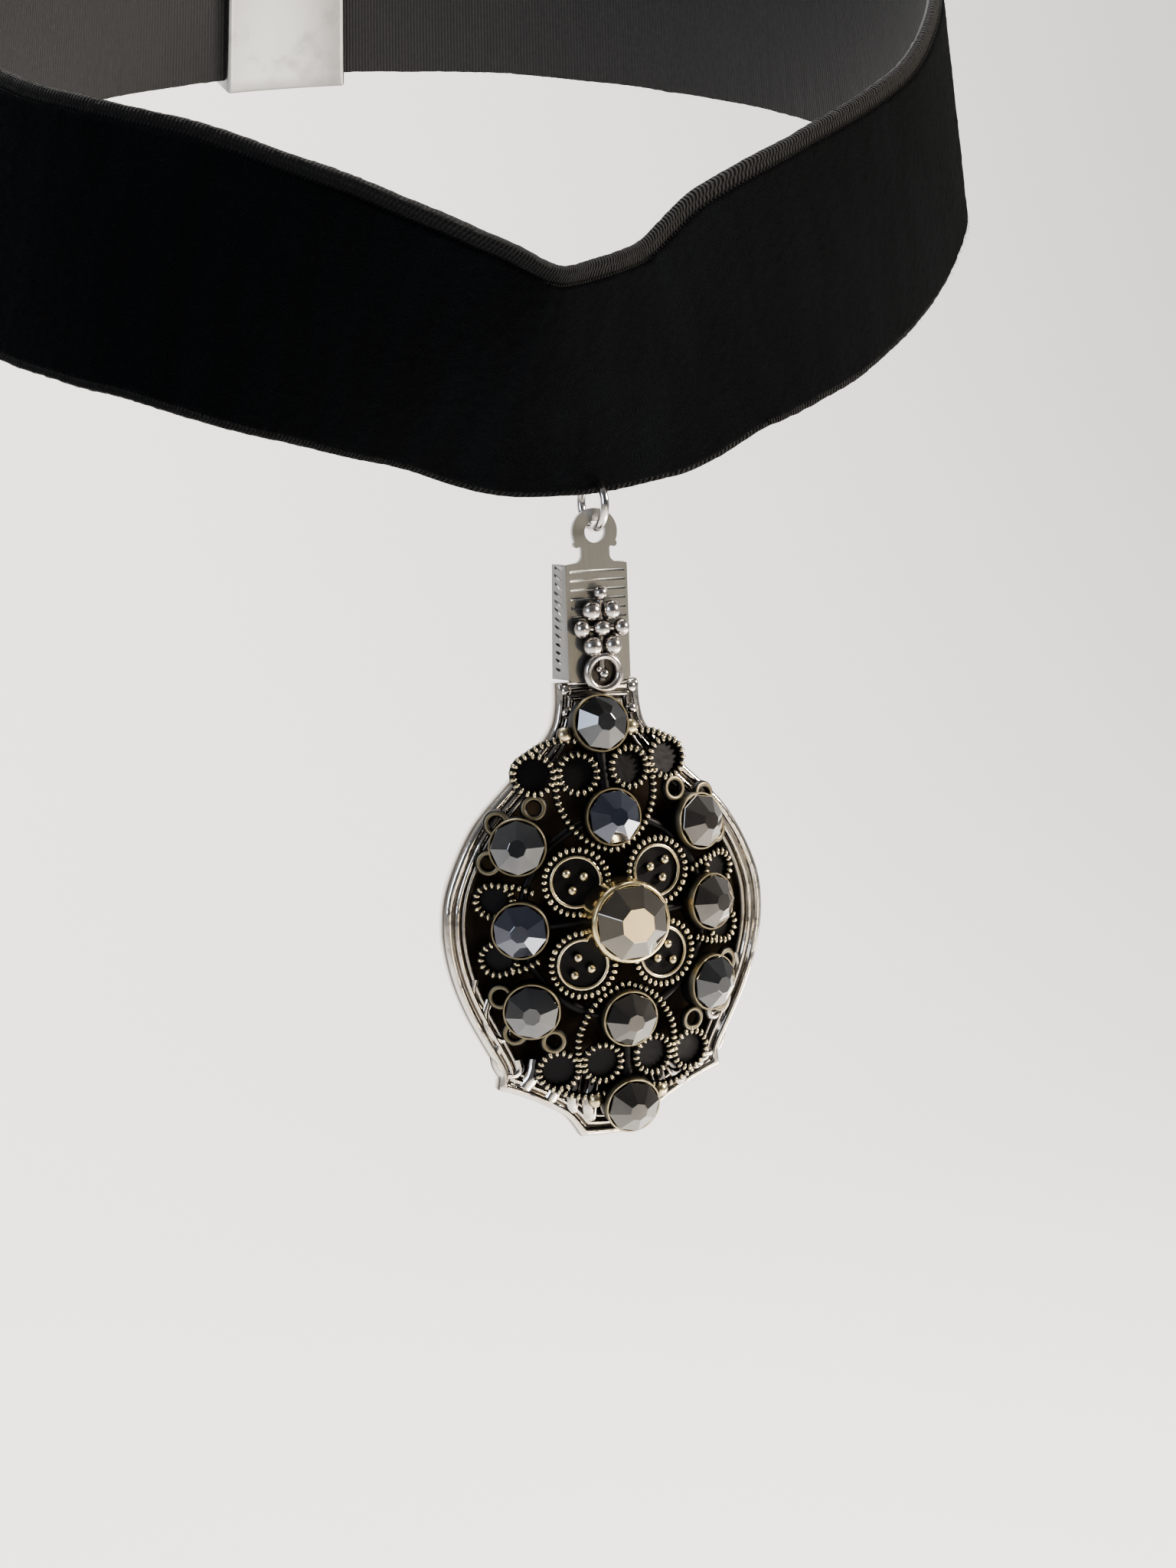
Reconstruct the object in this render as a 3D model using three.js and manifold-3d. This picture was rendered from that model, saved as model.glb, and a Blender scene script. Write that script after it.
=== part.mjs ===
// Choker necklace: a velvet ribbon closed at the back, and a filigree pendant on a jump ring.
// Millimetres, +Z up. The origin is the middle of the neck opening, and the pendant faces -Y.

import * as THREE from "three";
import { ConvexGeometry } from "three/addons/geometries/ConvexGeometry.js";
import { mergeVertices } from "three/addons/utils/BufferGeometryUtils.js";
import Module from "manifold-3d";

const wasm = await Module();
wasm.setup();

// Neck opening and ribbon
const NECK_WIDTH = 104.6;
const NECK_DEPTH = 108.6;
const NECK_TILT_DEG = 20;
const KEEL = 0.8;
const KEEL_HALF_ANGLE_DEG = 25;
const BAND_RISE = 15;
const RIBBON_WIDTH = 25;
const BACKING_THICKNESS = 1.0;
const PILE_HEIGHT = 0.4;
const TOP_SELVEDGE = 1.5;
const LOW_SELVEDGE = 0.8;
const PILE_BEVEL = 0.3;
const RIBBON_STEPS = 72;

// Shape of the loop, a row for each section. Angle 0 is the front, and positive angles go to +X.
// rise is the height of the section's middle, as a share of BAND_RISE.
// lean is how far the lower edge stands out from the upper one, in degrees.
const LOOP_SECTIONS = [
  { angle: -180, rise: 0.63, lean: 6 },
  { angle: -135, rise: 0.46, lean: 8 },
  { angle: -90, rise: 0.38, lean: 11 },
  { angle: -65, rise: 0.38, lean: 11 },
  { angle: -45, rise: 0.42, lean: 15 },
  { angle: -28, rise: 0.3, lean: 2 },
  { angle: -15, rise: 0.11, lean: -12 },
  { angle: -6, rise: -0.05, lean: -17 },
  { angle: 6, rise: 0.05, lean: -8 },
  { angle: 15, rise: 0.34, lean: 4 },
  { angle: 28, rise: 0.54, lean: 10 },
  { angle: 45, rise: 0.74, lean: 9 },
  { angle: 65, rise: 0.97, lean: 14 },
  { angle: 90, rise: 0.97, lean: 14 },
  { angle: 135, rise: 0.82, lean: 9 },
  { angle: 180, rise: 0.63, lean: 6 },
];

// Clasp behind the neck
const CLASP_LENGTH = 14;
const CLASP_WALL = 0.9;
const CLASP_PARTITION = 2;
const CLASP_STEPS = 4;

// Ring, and the hole in the ribbon that it hangs through
const RING_RADIUS = 2.25;
const RING_WIRE = 0.8;
const RING_YAW_DEG = 8;
const RING_SETBACK = 0.6;
const RING_SEGMENTS = 16;
const PIERCING_DIAMETER = 1.8;
const PIERCING_MARGIN = 0.55;

// Hanger tab
const TAB_THICKNESS = 0.6;
const EYE_DIAMETER = 2;
const HEAD_DIAMETER = 4.3;
const NECK_STRIP_WIDTH = 2.7;
const EAR_REACH = 0.35;
const EAR_HEIGHT = 0.7;
const STRAP_WIDTH = 6;
const STRAP_TOP = 2.9;
const STRAP_LENGTH = 10;
const SHOULDER_DROP = 0.5;
const FLANGE_DEPTH = 2.3;
const FLANGE_FLARE = 0.7;
const GROOVE_COUNT = 6;
const GROOVE_PITCH = 0.83;
const GROOVE_WIDTH = 0.22;
const GROOVE_DEPTH = 0.15;

// Backing plate
const PLATE_WIDTH = 31.4;
const BOWL_TOP_RUN = 22;
const FOOT_DROP = 21.1;
const FOOT_WIDTH = 22;
const FOOT_TIP_WIDTH = 6.2;
const PLATE_NECK_WIDTH = 8;
const TONGUE_WIDTH = 4;
const TONGUE_LENGTH = 7;
const PLATE_FLOOR = 1.1;
const RIM_WIDTH = 2.3;
const RIM_HEIGHT = 1.1;
const PLATE_BACK = -2.5;
const FLUTE_COUNT = 7;
const FLUTE_RADIUS = 0.45;
const NECK_BEAD_RADIUS = 0.6;
const NECK_BEAD_PITCH = 2;

// Granules and ring cup
const GRANULE_DIAMETER = 1.7;
const GRANULE_ROW_PITCH = 1.6;
const GRANULE_SPREAD = 1.9;
const GRANULES_TOP = 5.5;
const CUP_DIAMETER = 3.8;
const CUP_NESTING = 0.3;
const CUP_BORE = 2.3;
const CUP_HEIGHT = 1.1;
const STEM_WIDTH = 1.8;
const STEM_THICKNESS = 0.5;

// Filigree: a shallow dome, more curved across than along
const PENDANT_DROP = 35.1;
const FILIGREE_TURN_DEG = 3;
const FILIGREE_OFFSET = 0.1;
const DOME_RADIUS_ACROSS = 24;
const DOME_RADIUS_ALONG = 90;
const DOME_CROWN = 2.6;
const WIRE = 0.85;
const FINE_WIRE = 0.7;
const SMALL_STONE = 5;
const CENTRE_STONE = 7.2;
const SMALL_CUP_MARGIN = 0.1;
const CENTRE_CUP_MARGIN = 0.45;
const SMALL_CUP_HEIGHT = 1.5;
const CENTRE_CUP_HEIGHT = 3.2;
const CUP_SEAT = 0.4;
const UPPER_STONE_REACH = 9.25;
const SIDE_STONE_REACH = 8.85;
const CORNER_STONE_ACROSS = 8.4;
const CORNER_STONE_ALONG = 7.5;
const END_STONE_REACH = 17.6;
const PETAL_RADIUS = 2.8;
const PETAL_REACH = 3.9;
const PETAL_THICKNESS = 0.8;
const END_BALL_RADIUS = 0.75;

const CLEARANCE = 0.3;

const radians = THREE.MathUtils.degToRad;

const silver = { color: 0xb9b7b0, roughness: 0.32, metalness: 1 };
const agedSilver = { color: 0x9c9a94, roughness: 0.45, metalness: 1 };
const darkBrass = { color: 0x4b4636, roughness: 0.5, metalness: 0.9 };
const velvet = { color: 0x0b0b0e, roughness: 0.95, metalness: 0 };
const hematite = { color: 0x2c2c35, roughness: 0.08, metalness: 0.6 };

function namedMesh(name, geometry, finish) {
  const mesh = new THREE.Mesh(geometry, new THREE.MeshStandardMaterial(finish));
  mesh.name = name;
  return mesh;
}

// Closed solids, joined and cut

function toSolid(geometry) {
  const bare = geometry.clone();
  bare.deleteAttribute("normal");
  bare.deleteAttribute("uv");
  const merged = mergeVertices(bare, 1e-4);
  const corners = merged.index.array;
  const triangles = [];
  for (let i = 0; i < corners.length; i += 3) {
    const [a, b, c] = corners.slice(i, i + 3);
    if (a !== b && b !== c && c !== a) {
      triangles.push(a, b, c);
    }
  }
  return new wasm.Manifold(
    new wasm.Mesh({
      numProp: 3,
      vertProperties: new Float32Array(merged.attributes.position.array),
      triVerts: new Uint32Array(triangles),
    }),
  );
}

function toGeometry(solid) {
  const mesh = solid.getMesh();
  const geometry = new THREE.BufferGeometry();
  geometry.setAttribute("position", new THREE.BufferAttribute(mesh.vertProperties, 3));
  geometry.setIndex(new THREE.BufferAttribute(mesh.triVerts, 1));
  return geometry;
}

function fuse(geometries) {
  return geometries.map(toSolid).reduce((whole, solid) => whole.add(solid));
}

// Small shapes used by several pieces

function box(width, height, depth, x, y, z) {
  return new THREE.BoxGeometry(width, height, depth).translate(x, y, z);
}

function ball(radius, x, y, z) {
  return new THREE.SphereGeometry(radius, 10, 6).translate(x, y, z);
}

function disc(radius, height, sides, z) {
  return new THREE.CylinderGeometry(radius, radius, height, sides)
    .rotateX(Math.PI / 2)
    .translate(0, 0, z + height / 2);
}

// A turned shape about the z axis; profile points are [radius, z], listed so that faces point out.
function turned(profile, sides) {
  const points = profile.map(([radius, z]) => new THREE.Vector2(radius, z));
  return new THREE.LatheGeometry(points, sides).rotateX(Math.PI / 2);
}

function wireLoop(radius, wire, wireSides, sides) {
  const profile = [];
  for (let i = 0; i <= wireSides; i += 1) {
    const turn = (2 * Math.PI * (i % wireSides)) / wireSides;
    profile.push([radius + (wire / 2) * Math.cos(turn), (wire / 2) * Math.sin(turn)]);
  }
  return turned(profile, sides);
}

function polygon(radius, sides) {
  const outline = new THREE.Shape();
  for (let i = 0; i < sides; i += 1) {
    const turn = (2 * Math.PI * i) / sides;
    const x = radius * Math.cos(turn);
    const y = radius * Math.sin(turn);
    if (i === 0) {
      outline.moveTo(x, y);
    } else {
      outline.lineTo(x, y);
    }
  }
  outline.closePath();
  return outline;
}

function wireAlong(points, wire, sides, steps) {
  const path = new THREE.CatmullRomCurve3(points, false, "centripetal");
  return new THREE.ExtrudeGeometry(polygon(wire / 2, sides), { extrudePath: path, steps });
}

// Loop of the ribbon, before the neck tilt is applied

// Monotone cubic through one column of the section table.
function sectionValue(anyAngle, column) {
  const angle = THREE.MathUtils.euclideanModulo(anyAngle + 180, 360) - 180;
  const rows = LOOP_SECTIONS;
  const last = rows.length - 2;
  const index = Math.min(Math.max(rows.findIndex((row) => row.angle > angle) - 1, 0), last);
  const slope = (i) => {
    const here = rows[Math.min(Math.max(i, 0), last)];
    const next = rows[Math.min(Math.max(i, 0), last) + 1];
    return (next[column] - here[column]) / (next.angle - here.angle);
  };
  const tangent = (i) => {
    const before = slope(i - 1);
    const after = slope(i);
    return before * after > 0 ? (2 * before * after) / (before + after) : 0;
  };
  const from = rows[index];
  const to = rows[index + 1];
  const span = to.angle - from.angle;
  const t = THREE.MathUtils.clamp((angle - from.angle) / span, 0, 1);
  const a = 2 * t ** 3 - 3 * t ** 2 + 1;
  const b = t ** 3 - 2 * t ** 2 + t;
  const c = t ** 3 - t ** 2;
  return (
    a * from[column] + b * span * tangent(index) + (1 - a) * to[column] + c * span * tangent(index + 1)
  );
}

function loopMiddle(angle) {
  const turn = radians(angle);
  const keel = KEEL * Math.exp(-((angle / KEEL_HALF_ANGLE_DEG) ** 2));
  return new THREE.Vector3(
    (NECK_WIDTH / 2) * Math.sin(turn),
    -((NECK_DEPTH / 2) * Math.cos(turn) + keel),
    BAND_RISE * sectionValue(angle, "rise"),
  );
}

// Directions at one section: along the loop, down across the ribbon, and out of its face.
function loopFrame(angle) {
  const step = 0.5;
  const along = loopMiddle(angle + step).sub(loopMiddle(angle - step)).normalize();
  const outward = new THREE.Vector3(along.y, -along.x, 0).normalize();
  const lean = radians(sectionValue(angle, "lean"));
  const down = outward.clone().multiplyScalar(Math.sin(lean));
  down.z -= Math.cos(lean);
  down.addScaledVector(along, -down.dot(along)).normalize();
  const out = new THREE.Vector3().crossVectors(down, along).normalize();
  return { middle: loopMiddle(angle), down, out };
}

// Point of the ribbon: height above its lower edge, and depth out of its middle surface.
function ribbonPoint(angle, height, depth) {
  const frame = loopFrame(angle);
  return frame.middle
    .addScaledVector(frame.down, RIBBON_WIDTH / 2 - height)
    .addScaledVector(frame.out, depth);
}

// A slab that follows the loop. Each row has its height on the ribbon and its two depths.
function loopSlab(rows, steps, angleAt) {
  const slab = new THREE.BoxGeometry(1, 1, 1, steps, rows.length - 1, 1);
  const position = slab.attributes.position;
  for (let i = 0; i < position.count; i += 1) {
    const along = Math.round((position.getX(i) + 0.5) * steps);
    const row = rows[Math.round((position.getY(i) + 0.5) * (rows.length - 1))];
    const depth = position.getZ(i) > 0 ? row.outer : row.inner;
    const point = ribbonPoint(angleAt(along / steps), row.height, depth);
    position.setXYZ(i, point.x, point.y, point.z);
  }
  return slab;
}

const backing = BACKING_THICKNESS / 2;
const pileFace = backing + PILE_HEIGHT;

// Degrees of the loop taken by a length at the back of the neck.
function backAngle(length) {
  return THREE.MathUtils.radToDeg(length / (NECK_WIDTH / 2));
}

// Place on the ribbon where the ring goes through it.
const piercingHeight = PIERCING_MARGIN + PIERCING_DIAMETER / 2;
const worn = new THREE.Matrix4().makeRotationX(radians(NECK_TILT_DEG));
const piercing = ribbonPoint(0, piercingHeight, PILE_HEIGHT / 2).applyMatrix4(worn);

function makeRibbon() {
  const endAngle = 180 - backAngle(CLASP_PARTITION / 2 + CLEARANCE);
  const rows = [
    { height: 0, inner: -backing, outer: backing },
    { height: LOW_SELVEDGE, inner: -backing, outer: backing },
    { height: LOW_SELVEDGE + PILE_BEVEL, inner: -backing, outer: pileFace },
    { height: RIBBON_WIDTH / 2, inner: -backing, outer: pileFace },
    { height: RIBBON_WIDTH - TOP_SELVEDGE - PILE_BEVEL, inner: -backing, outer: pileFace },
    { height: RIBBON_WIDTH - TOP_SELVEDGE, inner: -backing, outer: backing },
    { height: RIBBON_WIDTH, inner: -backing, outer: backing },
  ];
  // Sections lie closer together at the front, where the ribbon bends most.
  const frontShare = 0.45;
  const angleAt = (share) => {
    const side = 2 * share - 1;
    return endAngle * (frontShare * side + (1 - frontShare) * side ** 3);
  };
  const band = toSolid(loopSlab(rows, RIBBON_STEPS, angleAt));
  const boreLength = 12;
  const bore = new THREE.CylinderGeometry(PIERCING_DIAMETER / 2, PIERCING_DIAMETER / 2, boreLength, 12)
    .translate(piercing.x, piercing.y, piercing.z)
    .applyMatrix4(worn.clone().invert());
  return toGeometry(band.subtract(toSolid(bore)));
}

function makeClasp() {
  const slab = (from, to, margin) => {
    const rows = [
      { height: -margin, inner: -backing - margin, outer: pileFace + margin },
      { height: RIBBON_WIDTH + margin, inner: -backing - margin, outer: pileFace + margin },
    ];
    const angleAt = (share) => 180 + backAngle(from + (to - from) * share);
    return toSolid(loopSlab(rows, CLASP_STEPS, angleAt));
  };
  const half = CLASP_LENGTH / 2;
  const overrun = 1;
  const body = slab(-half, half, CLEARANCE + CLASP_WALL);
  const pocketLeft = slab(-half - overrun, -CLASP_PARTITION / 2, CLEARANCE);
  const pocketRight = slab(CLASP_PARTITION / 2, half + overrun, CLEARANCE);
  return toGeometry(body.subtract(pocketLeft).subtract(pocketRight));
}

// Pendant: x to the viewer's right, y up, z towards the viewer, origin in the middle of the eye

function strapOutline() {
  const outline = new THREE.Shape();
  const head = HEAD_DIAMETER / 2;
  const strip = NECK_STRIP_WIDTH / 2;
  const strap = STRAP_WIDTH / 2;
  const stripAngle = Math.asin(strip / head);
  outline.absarc(0, 0, head, -Math.PI / 2 + stripAngle, (3 * Math.PI) / 2 - stripAngle, false);
  outline.lineTo(-strip, -STRAP_TOP + SHOULDER_DROP);
  outline.lineTo(-strap, -STRAP_TOP);
  outline.lineTo(-strap, -STRAP_TOP - STRAP_LENGTH);
  outline.lineTo(strap, -STRAP_TOP - STRAP_LENGTH);
  outline.lineTo(strap, -STRAP_TOP);
  outline.lineTo(strip, -STRAP_TOP + SHOULDER_DROP);
  outline.closePath();
  const eye = new THREE.Path();
  eye.absarc(0, 0, EYE_DIAMETER / 2, 0, 2 * Math.PI, true);
  outline.holes.push(eye);
  return outline;
}

function makeHangerTab() {
  const face = TAB_THICKNESS / 2;
  const parts = [
    new THREE.ExtrudeGeometry(strapOutline(), {
      depth: TAB_THICKNESS,
      bevelEnabled: false,
      curveSegments: 18,
    }).translate(0, 0, -face),
  ];
  for (const side of [-1, 1]) {
    const earWidth = HEAD_DIAMETER / 2 + EAR_REACH - NECK_STRIP_WIDTH / 4;
    const earX = side * (NECK_STRIP_WIDTH / 4 + earWidth / 2);
    const earY = -(HEAD_DIAMETER / 2) * 0.72;
    parts.push(box(earWidth, EAR_HEIGHT, TAB_THICKNESS, earX, earY, 0));
    parts.push(flange(side));
  }
  let tab = fuse(parts);
  for (let i = 0; i < GROOVE_COUNT; i += 1) {
    const y = -STRAP_TOP - GROOVE_PITCH * (i + 0.75);
    const groove = box(STRAP_WIDTH * 2, GROOVE_WIDTH, GROOVE_DEPTH * 2, 0, y, face);
    tab = tab.subtract(toSolid(groove));
  }
  return toGeometry(tab);
}

// Edge of the strap folded back, a little wider apart at the bottom than at the top.
function flange(side) {
  const wall = new THREE.BoxGeometry(TAB_THICKNESS, STRAP_LENGTH, FLANGE_DEPTH);
  const position = wall.attributes.position;
  for (let i = 0; i < position.count; i += 1) {
    const fall = 0.5 - position.getY(i) / STRAP_LENGTH;
    const back = 0.5 - position.getZ(i) / FLANGE_DEPTH;
    const flare = FLANGE_FLARE * (0.5 + 0.5 * fall) * back;
    const reach = STRAP_WIDTH / 2 - TAB_THICKNESS * 0.75 + flare;
    position.setXYZ(
      i,
      side * reach + position.getX(i),
      position.getY(i) - STRAP_TOP - STRAP_LENGTH / 2,
      -back * FLANGE_DEPTH,
    );
  }
  return wall;
}

// Half outline of the plate, from the neck down to the foot, on the side given by its sign.
function plateSide(side) {
  const wide = PLATE_WIDTH / 2;
  const neck = PLATE_NECK_WIDTH / 2;
  const foot = FOOT_WIDTH / 2;
  const bowl = new THREE.SplineCurve(
    [
      [neck + 0.9, BOWL_TOP_RUN * 0.76],
      [wide * 0.52, BOWL_TOP_RUN * 0.6],
      [wide * 0.79, BOWL_TOP_RUN * 0.4],
      [wide * 0.96, BOWL_TOP_RUN * 0.16],
      [wide, -FOOT_DROP * 0.03],
      [wide * 0.965, -FOOT_DROP * 0.22],
      [wide * 0.88, -FOOT_DROP * 0.4],
      [foot * 1.08, -FOOT_DROP * 0.58],
      [foot * 0.99, -FOOT_DROP * 0.67],
    ].map(([x, y]) => new THREE.Vector2(side * x, y)),
  );
  const tip = FOOT_TIP_WIDTH / 2;
  return [
    new THREE.Vector2(side * neck, BOWL_TOP_RUN - 2 * CLEARANCE),
    ...bowl.getPoints(20),
    new THREE.Vector2(side * foot, -FOOT_DROP * 0.75),
    new THREE.Vector2(side * (foot * 0.7), -FOOT_DROP * 0.815),
    new THREE.Vector2(side * (tip * 1.5), -FOOT_DROP * 0.91),
    new THREE.Vector2(side * tip, -FOOT_DROP),
  ];
}

function makeBackingPlate() {
  const outline = new THREE.Shape([...plateSide(-1), ...plateSide(1).reverse()]);
  const rim = outline.clone();
  const well = new THREE.Path();
  const wellAcross = PLATE_WIDTH / 2 - RIM_WIDTH;
  const wellAlong = wellAcross * 1.22;
  well.absellipse(0, 0, wellAcross, wellAlong, 0, 2 * Math.PI, true);
  rim.holes.push(well);
  const settings = { bevelEnabled: false, curveSegments: 16 };
  const parts = [
    new THREE.ExtrudeGeometry(outline, { ...settings, depth: PLATE_FLOOR }),
    new THREE.ExtrudeGeometry(rim, { ...settings, depth: PLATE_FLOOR + RIM_HEIGHT }),
  ];
  const tongueTop = -PLATE_BACK - TAB_THICKNESS / 2 - CLEARANCE;
  const tongueRun = TONGUE_LENGTH + 4 * CLEARANCE;
  const tongueY = BOWL_TOP_RUN + TONGUE_LENGTH - tongueRun / 2;
  parts.push(box(TONGUE_WIDTH, tongueRun, tongueTop, 0, tongueY, tongueTop / 2));
  const top = PLATE_FLOOR + RIM_HEIGHT;
  for (let i = 0; i < FLUTE_COUNT; i += 1) {
    const share = (2 * i) / (FLUTE_COUNT - 1) - 1;
    const inner = new THREE.Vector3(share * wellAcross * 0.5, -FOOT_DROP * 0.74 + Math.abs(share), top);
    const reach = FOOT_DROP * (0.955 - 0.13 * Math.abs(share));
    const outer = new THREE.Vector3(share * FOOT_WIDTH * 0.33, -reach, top);
    parts.push(wireAlong([inner, outer], 2 * FLUTE_RADIUS, 6, 1));
  }
  for (const side of [-1, 1]) {
    for (let i = 0; i < 3; i += 1) {
      const x = side * (PLATE_NECK_WIDTH / 2 - NECK_BEAD_RADIUS * 1.4);
      const y = BOWL_TOP_RUN - 2 * CLEARANCE - NECK_BEAD_RADIUS - NECK_BEAD_PITCH * i;
      parts.push(ball(NECK_BEAD_RADIUS, x, y, top - NECK_BEAD_RADIUS * 0.3));
    }
  }
  return toGeometry(fuse(parts));
}

function makeGranuleCluster() {
  const radius = GRANULE_DIAMETER / 2;
  const rows = [[0], [-0.5, 0.5], [-1, 0, 1], [-0.5, 0.5]];
  const back = TAB_THICKNESS / 2 + CLEARANCE;
  const parts = [];
  rows.forEach((row, index) => {
    for (const place of row) {
      const y = -GRANULES_TOP - GRANULE_ROW_PITCH * index;
      parts.push(ball(radius, place * GRANULE_SPREAD, y, back + radius * 0.8));
    }
  });
  const lastRow = GRANULES_TOP + GRANULE_ROW_PITCH * (rows.length - 1);
  const cupDrop = lastRow + radius - CUP_NESTING + CUP_DIAMETER / 2;
  const cup = turned(
    [
      [0, 0],
      [CUP_DIAMETER / 2, 0],
      [CUP_DIAMETER / 2, CUP_HEIGHT * 0.7],
      [(CUP_DIAMETER + CUP_BORE) / 4, CUP_HEIGHT],
      [CUP_BORE / 2, CUP_HEIGHT * 0.8],
      [CUP_BORE / 2, CUP_HEIGHT * 0.35],
      [0, CUP_HEIGHT * 0.35],
    ],
    14,
  ).translate(0, -cupDrop, back);
  const stemLength = cupDrop - GRANULES_TOP;
  const stemY = -GRANULES_TOP - stemLength / 2;
  const crossY = -GRANULES_TOP - GRANULE_ROW_PITCH * 2;
  parts.push(cup);
  parts.push(box(STEM_WIDTH, stemLength, STEM_THICKNESS, 0, stemY, back + STEM_THICKNESS / 2));
  parts.push(
    box(GRANULE_SPREAD * 2, STEM_WIDTH, STEM_THICKNESS, 0, crossY, back + STEM_THICKNESS / 2),
  );
  return toGeometry(fuse(parts));
}

// Filigree, about its own middle, which is the centre stone

function domeHeight(x, y) {
  const across = DOME_RADIUS_ACROSS - Math.sqrt(DOME_RADIUS_ACROSS ** 2 - x ** 2);
  const along = DOME_RADIUS_ALONG - Math.sqrt(DOME_RADIUS_ALONG ** 2 - y ** 2);
  return DOME_CROWN - across - along;
}

// Turns a shape so that its z axis stands square on the dome, and sets it there.
function ontoDome(geometry, x, y, lift) {
  return geometry.applyMatrix4(domePlace(x, y, lift));
}

function domePlace(x, y, lift) {
  const normal = new THREE.Vector3(
    x / Math.sqrt(DOME_RADIUS_ACROSS ** 2 - x ** 2),
    y / Math.sqrt(DOME_RADIUS_ALONG ** 2 - y ** 2),
    1,
  ).normalize();
  const turn = new THREE.Quaternion().setFromUnitVectors(new THREE.Vector3(0, 0, 1), normal);
  const place = new THREE.Vector3(x, y, domeHeight(x, y)).addScaledVector(normal, lift);
  return new THREE.Matrix4().compose(place, turn, new THREE.Vector3(1, 1, 1));
}

function domeWire(points, wire, lift, steps) {
  const path = points.map(([x, y]) => new THREE.Vector3(x, y, domeHeight(x, y) + lift));
  return wireAlong(path, wire, 5, steps);
}

// Points of a curl that winds round a centre, from one turn angle to another, in degrees.
function curl([x, y], radius, from, to, count) {
  const points = [];
  for (let i = 0; i <= count; i += 1) {
    const turn = radians(from + ((to - from) * i) / count);
    points.push([x + radius * Math.cos(turn), y + radius * Math.sin(turn)]);
  }
  return points;
}

const smallStonePlaces = [
  { name: "stone_top", x: 0, y: END_STONE_REACH },
  { name: "stone_upper", x: 0, y: UPPER_STONE_REACH },
  { name: "stone_upper_left", x: -CORNER_STONE_ACROSS, y: CORNER_STONE_ALONG },
  { name: "stone_upper_right", x: CORNER_STONE_ACROSS, y: CORNER_STONE_ALONG },
  { name: "stone_left", x: -SIDE_STONE_REACH, y: 0 },
  { name: "stone_right", x: SIDE_STONE_REACH, y: 0 },
  { name: "stone_lower_left", x: -CORNER_STONE_ACROSS, y: -CORNER_STONE_ALONG },
  { name: "stone_lower_right", x: CORNER_STONE_ACROSS, y: -CORNER_STONE_ALONG },
  { name: "stone_lower", x: 0, y: -UPPER_STONE_REACH },
  { name: "stone_bottom", x: 0, y: -END_STONE_REACH },
];

function stoneCup(diameter, height, margin) {
  const outer = diameter / 2 + margin;
  const floor = height * 0.3;
  return turned(
    [
      [0, 0],
      [outer * 0.86, 0],
      [outer, height],
      [diameter / 2 - CUP_SEAT, height],
      [diameter / 2 - CUP_SEAT - 0.3, floor],
      [0, floor],
    ],
    12,
  );
}

// Wires of the upper right quarter; the other quarters mirror them.
function quarterWires() {
  const lift = 0.5;
  const heartLoop = [2.5, 13.5];
  const outerLoop = [6.5, 13.8];
  const sideLoop = [11, 2.7];
  const heart = [
    [0.3, 6.3],
    [2.2, 7.2],
    [3.9, 9.2],
    [4.7, 11.6],
    ...curl(heartLoop, 1.75, 20, 290, 6),
  ];
  const outer = [[1.8, 16.4], [4.4, 16.6], ...curl(outerLoop, 1.75, 70, -200, 6)];
  const side = [[7.8, 3.2], [9.4, 3.9], ...curl(sideLoop, 1.5, 120, -150, 6)];
  const wires = [
    domeWire(heart, WIRE, lift, 15),
    domeWire(outer, WIRE, lift, 13),
    domeWire(side, WIRE, lift, 11),
  ];
  const eyelets = [
    [9.9, 9.7],
    [6.7, 10.8],
    [10.9, 6.2],
  ];
  for (const [x, y] of eyelets) {
    wires.push(ontoDome(wireLoop(0.95, FINE_WIRE, 5, 10), x, y, lift));
  }
  wires.push(ontoDome(ball(END_BALL_RADIUS, 0, 0, 0), 3.2, END_STONE_REACH - 0.5, lift));
  const petal = disc(PETAL_RADIUS, PETAL_THICKNESS, 14, 0);
  const petalRim = wireLoop(PETAL_RADIUS - FINE_WIRE / 2, FINE_WIRE, 4, 14);
  wires.push(ontoDome(petal, PETAL_REACH, PETAL_REACH, 0.3));
  wires.push(ontoDome(petalRim, PETAL_REACH, PETAL_REACH, 0.3 + PETAL_THICKNESS));
  return wires;
}

function makeFiligree() {
  const quarter = fuse(quarterWires());
  const half = quarter.add(quarter.mirror([1, 0, 0]));
  let body = half.add(half.mirror([0, 1, 0]));
  const parts = smallStonePlaces.map(({ x, y }) =>
    ontoDome(stoneCup(SMALL_STONE, SMALL_CUP_HEIGHT, SMALL_CUP_MARGIN), x, y, 0),
  );
  parts.push(ontoDome(stoneCup(CENTRE_STONE, CENTRE_CUP_HEIGHT, CENTRE_CUP_MARGIN), 0, 0, 0));
  const frameLift = 0.1;
  const underStone = SMALL_STONE * 0.4;
  for (const side of [-1, 1]) {
    for (const end of [-1, 1]) {
      const arc = [];
      for (let i = 0; i <= 4; i += 1) {
        const turn = (Math.PI / 2) * (i / 4);
        arc.push([
          side * SIDE_STONE_REACH * Math.cos(turn),
          end * UPPER_STONE_REACH * Math.sin(turn),
        ]);
      }
      parts.push(domeWire(arc, WIRE, frameLift, 6));
    }
    const spine = [
      [0, side * (UPPER_STONE_REACH + underStone)],
      [0, side * (END_STONE_REACH - underStone)],
    ];
    parts.push(domeWire(spine, WIRE * 1.3, frameLift, 2));
    const spoke = [
      [0, 0],
      [side * SIDE_STONE_REACH, 0],
    ];
    parts.push(domeWire(spoke, WIRE, frameLift, 3));
  }
  for (const part of parts) {
    body = body.add(toSolid(part));
  }
  return toGeometry(body);
}

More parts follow.
